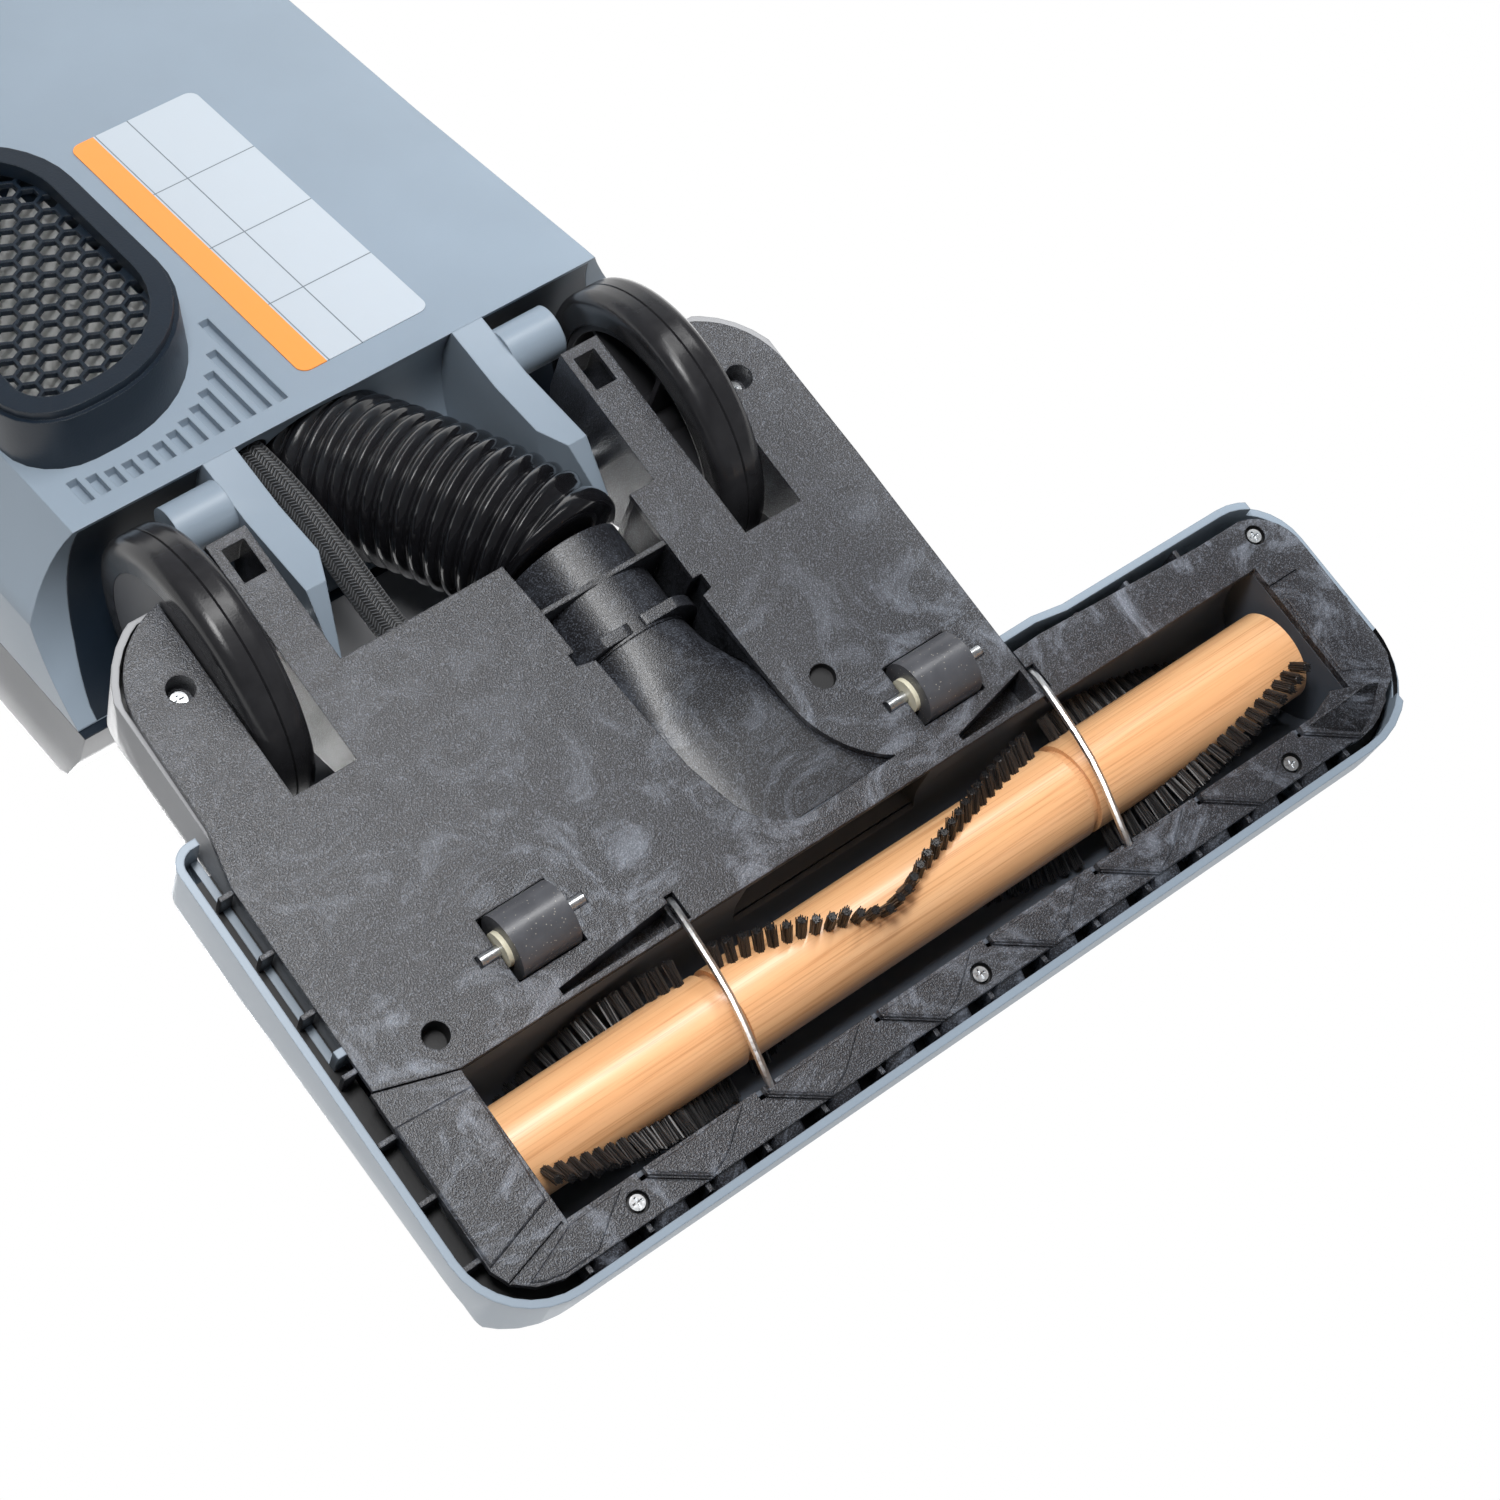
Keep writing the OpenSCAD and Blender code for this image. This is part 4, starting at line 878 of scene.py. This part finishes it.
class VACUUM_OT_stage(bpy.types.Operator):
    """Sets up the camera, the soft lamps and the plain floor"""

    bl_idname = "vacuum.stage"
    bl_label = "Stage"

    def execute(self, context):
        scene = context.scene
        scene.view_settings.view_transform = "Standard"
        camera = put("camera", bpy.data.cameras.new("camera"))
        camera.data.lens = 76.8
        camera.data.sensor_width = 36.0
        camera.data.clip_start, camera.data.clip_end = 0.05, 20.0
        camera.location = (0.40928, -0.64710, -0.88996)
        camera.rotation_euler = [math.radians(a) for a in (-159.839, 14.456, -143.888)]
        scene.camera = camera
        target = Vector((0.03, -0.44, 0.03))
        turn = camera.rotation_euler.to_matrix()
        for name, (across, up, back), size, watts in (
            ("key", (-0.05, 0.42, 1.05), 0.32, 6.0),
            ("fill", (1.2, -0.1, 0.9), 1.4, 4.0),
        ):
            self.lamp(name, target + turn @ Vector((across, up, back)), target, size, watts)
        # A long narrow lamp set square to the hose lays one bright streak along each of its ribs.
        strip = self.lamp("strip", target + turn @ Vector((0.1, 0.62, 0.75)), target, 1.1, 9.0)
        strip.data.shape, strip.data.size_y = "RECTANGLE", 0.08
        long_way = turn @ Vector((0.5, 0.87, -0.6))
        back = (strip.location - target).normalized()
        side = (long_way - back * long_way.dot(back)).normalized()
        strip.rotation_euler = Matrix((side, back.cross(side), back)).transposed().to_euler()
        middle = (BUILT_BOX[0] + BUILT_BOX[1]) / 2
        for name, offset, size, watts in (
            ("top", (0.3, -0.6, 1.9), 1.8, 8.0),
            ("side", (-1.7, 0.5, 1.0), 1.4, 4.0),
        ):
            self.lamp(name, middle + Vector(offset), middle, size, watts)
        # Even light from overhead, which keeps the floor pale when it is looked at from above.
        sun = put("sun", bpy.data.lights.new("sun", "SUN"))
        sun.data.energy, sun.data.angle = 1.9, math.radians(25)
        sun.rotation_euler = (math.radians(-16), math.radians(-10), 0)
        self.floor()
        self.sky(scene)
        return {"FINISHED"}

    def lamp(self, name, place, target, size, watts):
        """A round soft lamp at place that shines at target."""
        lamp = put(name, bpy.data.lights.new(name, "AREA"))
        lamp.data.shape, lamp.data.size, lamp.data.energy = "DISK", size, watts
        lamp.location = place
        lamp.rotation_euler = (target - place).to_track_quat("-Z", "Y").to_euler()
        return lamp

    def floor(self):
        """A pale matt sheet that is there only when looked at from above; lamps below it shine through."""
        reach = 6.0
        corners = [(-reach, -reach, 0), (reach, -reach, 0), (reach, reach, 0), (-reach, reach, 0)]
        mesh = bpy.data.meshes.new("floor")
        mesh.from_pydata(corners, [], [(0, 1, 2, 3)])
        floor = put("floor", mesh)
        floor.location.z = -0.5 * MM
        material = bpy.data.materials.new("matt_floor")
        material.use_nodes = True
        tree = material.node_tree
        tree.nodes.clear()
        top = add(tree, "ShaderNodeBsdfDiffuse", {"Color": linear("#F2F2F0")})
        clear = add(tree, "ShaderNodeBsdfTransparent")
        side = add(tree, "ShaderNodeNewGeometry")
        both = add(
            tree,
            "ShaderNodeMixShader",
            {0: side.outputs["Backfacing"], 1: top.outputs[0], 2: clear.outputs[0]},
        )
        add(tree, "ShaderNodeOutputMaterial", {"Surface": both.outputs[0]})
        mesh.materials.append(material)
        floor.visible_shadow = False

    def sky(self, scene):
        """A dim even surround that lights the object, and plain white where it is seen or reflected."""
        world = bpy.data.worlds.new("studio")
        scene.world = world
        world.use_nodes = True
        tree = world.node_tree
        tree.nodes.clear()
        ray = add(tree, "ShaderNodeLightPath")
        seen = ray.outputs["Is Camera Ray"]
        for kind in ("Is Glossy Ray", "Is Transmission Ray"):
            seen = add(
                tree, "ShaderNodeMath", {0: seen, 1: ray.outputs[kind]}, operation="MAXIMUM"
            ).outputs[0]
        soft = add(tree, "ShaderNodeBackground", {"Color": linear("#F4F6FA"), "Strength": 0.2})
        white = add(tree, "ShaderNodeBackground", {"Color": (1, 1, 1, 1), "Strength": 1.0})
        both = add(tree, "ShaderNodeMixShader", {0: seen, 1: soft.outputs[0], 2: white.outputs[0]})
        add(tree, "ShaderNodeOutputWorld", {"Surface": both.outputs[0]})


FINISH_OF = {
    "housing": "head_shell rear_housing fork_left fork_right bag_door top_cap",
    "sole": "base_plate sole_frame",
    "duct": "suction_duct duct_cuff duct_collar duct_well bulkhead hose_port",
    "trim": "motor_cover exhaust_collar exhaust_grille arch_left arch_right brush_motor suction_motor"
    " door_latch switch_box cord_hook hook_saddle cord_hook_swivel cord_gland handle_socket",
    "cover": "chassis_cover",
    "chamber": "brush_chamber",
    "zinc": "case_screws axle_left axle_right roller_pin_left roller_pin_right wire_guard_left"
    " wire_guard_right brush_stubs brush_bearings motor_pulley door_pin handle_tube",
    "tyre": "wheel_tyre_left wheel_tyre_right",
    "hub": "wheel_hub_left wheel_hub_right",
    "roller": "roller_tyre_left roller_tyre_right",
    "rubber": "drive_belt switch_rocker grip",
    "maple": "brush_roll",
    "nylon": "roller_core_left roller_core_right",
    "film": "label_plate",
    "paper": "dust_bag",
    "pleats": "filter",
    "vinyl": "suction_hose",
    "sleeve": "motor_lead",
    "bristle": "bristle_rows",
}


class VACUUM_OT_finishes(bpy.types.Operator):
    """Gives every moulded, turned and plated part of the frame its finish"""

    bl_idname = "vacuum.finishes"
    bl_label = "Part Finishes"

    def execute(self, context):
        tone, size = context.scene.vacuum_colours, context.scene.vacuum_sizes
        edge = size.edge_round
        made = {
            "housing": moulded("satin_abs", tone.blue, 0.4, 0.9, 0.012, edge),
            "sole": moulded(
                "grained_polypropylene",
                tone.black,
                0.3,
                0.5,
                0.2,
                edge,
                pale="#98A0AE",
                haze=0.62,
                haze_size=34,
            ),
            "duct": moulded(
                "smooth_duct_polypropylene",
                linear("#1C1C1F")[:3],
                0.3,
                0.5,
                0.1,
                edge,
                pale="#8A92A0",
                haze=0.5,
                haze_size=30,
            ),
            "trim": moulded("grained_polypropylene_trim", tone.charcoal, 0.38, 0.8, 0.05, edge),
            "cover": moulded("satin_grey_abs", tone.grey, 0.45, 1.1, 0.01, edge),
            "chamber": moulded("smooth_chamber_abs", linear("#575E68")[:3], 0.33, 1.5, 0.005, edge),
            "zinc": zinc_plate(),
            "tyre": wheel_rubber(tone.rubber, "moulded_rubber", 0.2),
            "hub": moulded("satin_hub_polypropylene", linear("#3A3A3D")[:3], 0.4, 0.9, 0.03, edge),
            "roller": wheel_rubber(linear("#404145")[:3], "roller_rubber", 0.3, dust=0.85),
            "rubber": wheel_rubber(tone.rubber, "soft_rubber", 0.5),
            # Near-black finish for the sheets that paint shade into the gap, the holes and the screw
            # recesses.
            "gap": moulded("painted_shade_black", linear("#161618")[:3], 0.6, 1.0, 0.04, edge),
            "maple": lacquered_maple(tone.maple),
            "nylon": moulded("ivory_nylon", tone.ivory, 0.35, 0.8, 0.01, edge * 0.5),
            "film": printed_film(tone.stripe),
            "paper": woven("filter_bag_paper", "#BCA67C", "#D9C8A2", 1.1),
            "pleats": woven("pleated_filter_paper", "#DADCDD", "#F6F6F4", 0.8),
            "vinyl": hose_vinyl(),
            "sleeve": braided_sleeve(size.braid_pitch, 8),
            "bristle": nylon_bristle(),
        }
        for kind, names in FINISH_OF.items():
            for name in names.split():
                dress(NODES[name], made[kind])
                smooth_edges(NODES[name])
        bare = sorted(set(NODES) - set(" ".join(FINISH_OF.values()).split()))
        if bare:
            raise RuntimeError("no finish for " + ", ".join(bare))
        return {"FINISHED"}


HOSE_ROUTE = [
    (-25, 126.4, 22), (-24.6, 130.4, 22.3), (-23, 135, 23), (-17, 149, 26), (-9, 167, 32),
    (-1, 185, 40), (5.3, 199, 47.4), (7.8, 206.6, 51.5), (8, 210.3, 53),
]
LEAD_ROUTE = [
    (50, 85.6, 12), (49.6, 88, 12), (44, 100, 12), (36, 119, 12.5), (35.5, 133, 16.5),
    (34.5, 150, 20), (33.5, 168, 23), (33, 184, 26), (33.5, 200, 29), (34.5, 213.5, 32),
]


class VACUUM_OT_hose(bpy.types.Operator):
    """Makes the corrugated suction hose from the brush head to the body"""

    bl_idname = "vacuum.hose"
    bl_label = "Suction Hose"

    def execute(self, context):
        size = context.scene.vacuum_sizes
        line = smooth_route([in_head(*p) for p in HOSE_ROUTE], 1.5 * MM)
        values = {
            "Radius": size.hose_radius,
            "Groove depth": size.hose_depth,
            "Rib pitch": size.hose_pitch,
            "Step": size.hose_pitch / 12,
            "Sides": 72,
        }
        hose = grow("hose", corrugated_tube(), values, bpy.data.materials["glossy_vinyl"], line)
        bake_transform(hose)
        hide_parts("suction_hose")
        return {"FINISHED"}


class VACUUM_OT_lead(bpy.types.Operator):
    """Makes the braided lead from the body to the brush motor"""

    bl_idname = "vacuum.lead"
    bl_label = "Motor Lead"

    def execute(self, context):
        size = context.scene.vacuum_sizes
        line = smooth_route([in_head(*p) for p in LEAD_ROUTE], 1.5 * MM)
        values = {
            "Radius": size.lead_radius,
            "Groove depth": 0.1 * MM,
            "Rib pitch": size.braid_pitch * 2,
            "Step": 0.7 * MM,
            "Sides": 32,
        }
        lead = grow(
            "motor_lead_sleeve", corrugated_tube(), values, bpy.data.materials["braided_sleeve"], line
        )
        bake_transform(lead)
        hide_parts("motor_lead")
        return {"FINISHED"}


class VACUUM_OT_bristles(bpy.types.Operator):
    """Makes the two wound rows of bristle tufts on the brush roll"""

    bl_idname = "vacuum.bristles"
    bl_label = "Bristles"

    def execute(self, context):
        size = context.scene.vacuum_sizes
        reach = size.tip_radius - size.roll_radius
        tuft = put("tuft", bristle_tuft(size.tuft_radius, reach, size.tuft_hairs))
        first, span = -207, 308
        values = {
            "Tufts": 1 + int(span * MM / size.tuft_pitch),
            "Pitch": size.tuft_pitch,
            "First": first * MM,
            "Roll radius": size.roll_radius,
            "Seed": 3,
            "Tuft": tuft,
        }
        rows = grow("bristle_tufts", tuft_rows(), values, bpy.data.materials["nylon_bristle"])
        rows.data.transform(HEAD_FRAME @ Matrix.Translation(Vector((0, *ROLL_AXIS)) * MM))
        bpy.data.objects.remove(tuft)
        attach(rows, "brush")
        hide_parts("bristle_rows")
        return {"FINISHED"}


# Outlines on the sole, in millimetres across and along; a tooth and a bead repeat at every chevron.
TOOTH = [(-1.6, -54.9), (-38.2, -54.2), (-26.5, -63.3), (-23.6, -64.8), (-18.0, -67.0), (-2.6, -56.4)]
BEAD = [(-1.2, -56.2), (-2.6, -56.2), (-18.6, -67.3), (-17.4, -67.5)]
END_FACETS = [
    [
        (103.9, -55.4), (84.6, -55.0), (91.4, -59.6), (100.8, -66.4),
        (112, -66.6), (119, -65.2), (123.4, -63.0),
    ],
    [(-193.4, -55.2), (-209.4, -49.6), (-228, -56.6), (-223.6, -62.6), (-214, -66.4), (-208, -67.2)],
    [(-217.2, -46.4), (-217.6, -16), (-235.4, -12), (-235.8, -48), (-230.6, -53.2)],
]
END_BLOCK = [(130.0, -4.0), (103.7, -5.8), (105.2, -45.8), (130.2, -53.2)]
CHEVRON_FIRST, CHEVRON_PITCH, CHEVRON_COUNT = -190.5, 44.6, 7
BLIND_HOLES = [(103.8, 12.5, 7.9), (-66.0, 43.5, 2.9)]  # across, along and depth
HOLE_RADIUS = 4.3
SOLE_SCREWS = [(-224, 7.5), (-181, -62), (-48.2, -62), (83.1, -61)]
RECESS_RADIUS, RECESS_DEPTH, SCREW_RADIUS = 3.55, 2.36, 2.3
SHEET_TOP = 0.3  # the lining of a hole starts this far inside its rim


class VACUUM_OT_sole(bpy.types.Operator):
    """Makes the raised facets of the sole, the apron panels outside it and a dark sheet of painted shade in
    the gap
    """

    bl_idname = "vacuum.sole"
    bl_label = "Sole Relief"

    def execute(self, context):
        rise = context.scene.vacuum_sizes.facet_rise / MM
        black = bpy.data.materials["grained_polypropylene"]
        shape = bmesh.new()
        for k in range(CHEVRON_COUNT):
            middle = CHEVRON_FIRST + CHEVRON_PITCH * k
            facet(shape, [(x + middle, y) for x, y in TOOTH], rise)
            facet(shape, [(x + middle, y) for x, y in BEAD], rise + 0.35, slope=0.3)
        for outline in END_FACETS:
            facet(shape, outline, rise)
        facet(shape, END_BLOCK, rise + 0.4, slope=0.6)
        relief = mesh_piece("sole_facets", shape, black, HEAD_FRAME)
        panel = put("panel", apron_panel())
        pitch, first = PANEL_PITCH * MM, PANEL_FIRST * MM
        values = {"Count": PANEL_COUNT, "Pitch": pitch, "First": first, "Panel": panel}
        apron = grow("apron_panels", panels_along(), values, black)
        bpy.data.objects.remove(panel)
        apron.data.transform(HEAD_FRAME)
        shade_smooth(apron.data)
        shade_sheet = self.shade_sheet()
        for piece in (relief, apron, shade_sheet):
            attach(piece, "head")
        return {"FINISHED"}

    def shade_sheet(self):
        """Painted shade: a dark sheet inside the gap between sole and shell, and inside the holes and screw
        recesses.
        """
        left, nose = 136.7, -71.2
        route = [(left, y) for y in (92.0, 60.0, 20.0, -20.0, -45.0)]
        for k in range(1, 13):
            turn = math.radians(-90 * k / 12)
            route.append((111.5 + 25.2 * math.cos(turn), -46 + 25.2 * math.sin(turn)))
        route += [(x, nose) for x in (60.0, 0.0, -60.0, -120.0, -180.0)]
        for k in range(11):
            turn = math.radians(270 - 90 * k / 10)
            route.append((-208.5 + 30.2 * math.cos(turn), -40.5 + 30.7 * math.sin(turn)))
        shape = bmesh.new()
        rows = []
        for before, here, after in zip([route[0], *route], route, [*route[1:], route[-1]]):
            way = (Vector(after) - Vector(before)).normalized()
            inward = Vector((way.y, -way.x))
            rows.append(
                [
                    shape.verts.new(Vector((*(Vector(here) + inward * far), deep)) * MM)
                    for far, deep in ((0.0, 0.8), (0.0, 11.0), (1.0, 12.4), (9.0, 12.6))
                ]
            )
        skin(shape, rows, closed=False, ends=False)
        for x, y, deep in BLIND_HOLES:
            self.ring(shape, (x, y), ((HOLE_RADIUS, SHEET_TOP), (HOLE_RADIUS, deep), (0.0, deep)))
        recess = ((RECESS_RADIUS, SHEET_TOP), (RECESS_RADIUS, RECESS_DEPTH), (SCREW_RADIUS, RECESS_DEPTH))
        for place in SOLE_SCREWS:
            self.ring(shape, place, recess)
        # The sheet is painted shade: being near black, it darkens the gap, the holes and the recesses.
        black = bpy.data.materials["painted_shade_black"]
        return mesh_piece("gap_lining", shape, black, HEAD_FRAME)

    def ring(self, shape, middle, profile, sides=28):
        """A turned sheet round middle through the radius and depth pairs of its profile, in millimetres."""
        rows = []
        for radius, deep in profile:
            if radius:
                points = [(middle[0] + radius * c, middle[1] + radius * s) for c, s in round_steps(sides)]
                rows.append([shape.verts.new(Vector((*point, deep)) * MM) for point in points])
            else:
                rows.append([shape.verts.new(Vector((*middle, deep)) * MM)] * sides)
        skin(shape, rows, ends=False)


class VACUUM_OT_pleats(bpy.types.Operator):
    """Makes the pleated exhaust filter behind its grille"""

    bl_idname = "vacuum.pleats"
    bl_label = "Exhaust Filter"

    def execute(self, context):
        half_pitch = context.scene.vacuum_sizes.pleat_pitch / MM / 2
        first, across, back, fold = 33.8, 56, -46.2, 9.0
        # The exhaust's outline has corners of a wide radius on its right and a small one on its left.
        wide, wide_x, small, small_x = 36.6, 70, 11.6, 78
        shape = bmesh.new()
        rows = []
        for k in range(int(across / half_pitch) + 1):
            x = first + k * half_pitch
            if x < wide_x:
                reach = math.sqrt(max(0.0, wide**2 - (x - wide_x) ** 2))
                low, high = 119 - reach, 170 + reach
            else:
                reach = math.sqrt(max(0.0, small**2 - max(0.0, x - small_x) ** 2))
                low, high = 94 - reach, 195 + reach
            if high - low < 8:
                continue
            deep = back + (k % 2) * fold
            points = [(x, low + (high - low) * t / 12, deep) for t in range(13)]
            rows.append([shape.verts.new(Vector(point) * MM) for point in points])
        skin(shape, rows, closed=False, ends=False)
        bmesh.ops.solidify(shape, geom=shape.faces[:], thickness=0.5 * MM)
        pleats = mesh_piece("filter_pleats", shape, bpy.data.materials["pleated_filter_paper"], BODY_FRAME)
        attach(pleats, "upright")
        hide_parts("filter")
        return {"FINISHED"}


class VACUUM_OT_bag(bpy.types.Operator):
    """Makes the paper dust bag: a gusseted bag that its air fills, on a stiff collar"""

    bl_idname = "vacuum.bag"
    bl_label = "Dust Bag"

    def execute(self, context):
        paper = bpy.data.materials["filter_bag_paper"]
        half_width, start, tall, middle, half_depth = 64, 238, 296, 40, 45
        rows, around = 46, 88
        shape = bmesh.new()
        rings = []
        for j in range(rows + 1):
            t = j / rows
            # The bag keeps its depth along most of its length and closes in near each end.
            close = 1 - 0.9 * max(0.0, abs(2 * t - 1) - 0.86) / 0.14
            ring = []
            for c, s in round_steps(around):
                x = half_width * math.copysign(abs(c) ** 0.3, c)
                z = middle + half_depth * math.copysign(abs(s) ** 0.3, s) * (0.35 + 0.65 * close)
                gusset = 9 * max(0.0, 1 - abs(z - middle) / 22) if abs(x) > 52 else 0.0
                place = (x - math.copysign(gusset, x), start + tall * t, z)
                ring.append(shape.verts.new(Vector(place) * MM))
            rings.append(ring)
        skin(shape, rings)
        bag = mesh_piece("dust_bag_paper", shape, paper)
        self.inflate(context, bag, 5.0 * MM)
        bag.data.transform(BODY_FRAME)
        shade_smooth(bag.data)
        fine = bag.modifiers.new("Soft folds", "SUBSURF")
        fine.levels = fine.render_levels = 1
        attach(bag, "upright")
        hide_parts("dust_bag")
        collar = bmesh.new()
        bore, outside, flange = 18.3, 19.6, 24
        profile = (
            (bore, 208), (outside, 208), (outside, 236), (flange, 236.4), (flange, 238.4), (bore, 238.4)
        )
        rings = []
        for radius, along in profile:
            points = [(-40 + radius * c, along, 50 + radius * s) for c, s in round_steps(48)]
            rings.append([collar.verts.new(Vector(point) * MM) for point in points])
        skin(collar, [*rings, rings[0]], ends=False)
        neck = mesh_piece("bag_collar", collar, paper, BODY_FRAME, smooth=40)
        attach(neck, "upright")
        return {"FINISHED"}

    def inflate(self, context, bag, most):
        """Blows the bag up a little as cloth and keeps every point within most of where it began."""
        began = [v.co.copy() for v in bag.data.vertices]
        cloth = bag.modifiers.new("Air", "CLOTH")
        cloth.settings.quality = 6
        cloth.settings.mass = 0.2
        cloth.settings.use_pressure = True
        cloth.settings.uniform_pressure_force = 4.0
        cloth.settings.tension_stiffness = cloth.settings.compression_stiffness = 40
        cloth.settings.effector_weights.gravity = 0
        scene = context.scene
        for frame_number in range(1, 21):
            scene.frame_set(frame_number)
        seen = bag.evaluated_get(context.evaluated_depsgraph_get())
        after = [v.co.copy() for v in seen.data.vertices]
        bag.modifiers.remove(cloth)
        scene.frame_set(1)
        for vertex, first, last in zip(bag.data.vertices, began, after):
            move = last - first
            vertex.co = first + (move if move.length <= most else move.normalized() * most)


class VACUUM_PT_panel(bpy.types.Panel):
    """Lists the steps that dress the vacuum cleaner"""

    bl_idname = "VACUUM_PT_panel"
    bl_label = "Vacuum"
    bl_space_type = "VIEW_3D"
    bl_region_type = "UI"
    bl_category = "Vacuum"

    def draw(self, context):
        for step in STEPS:
            self.layout.operator(step.bl_idname)
        for group in (context.scene.vacuum_sizes, context.scene.vacuum_colours):
            for name in group.__annotations__:
                self.layout.prop(group, name)


STEPS = (
    VACUUM_OT_stage,
    VACUUM_OT_finishes,
    VACUUM_OT_hose,
    VACUUM_OT_lead,
    VACUUM_OT_bristles,
    VACUUM_OT_sole,
    VACUUM_OT_pleats,
    VACUUM_OT_bag,
)
CLASSES = (VacuumSizes, VacuumColours, *STEPS, VACUUM_PT_panel)


def register():
    for kind in CLASSES:
        bpy.utils.register_class(kind)
    bpy.types.Scene.vacuum_sizes = bpy.props.PointerProperty(type=VacuumSizes)
    bpy.types.Scene.vacuum_colours = bpy.props.PointerProperty(type=VacuumColours)


def unregister():
    del bpy.types.Scene.vacuum_colours
    del bpy.types.Scene.vacuum_sizes
    for kind in reversed(CLASSES):
        bpy.utils.unregister_class(kind)


def main():
    register()
    for step in STEPS:
        group, name = step.bl_idname.split(".")
        getattr(getattr(bpy.ops, group), name)()


if __name__ == "__main__":
    main()
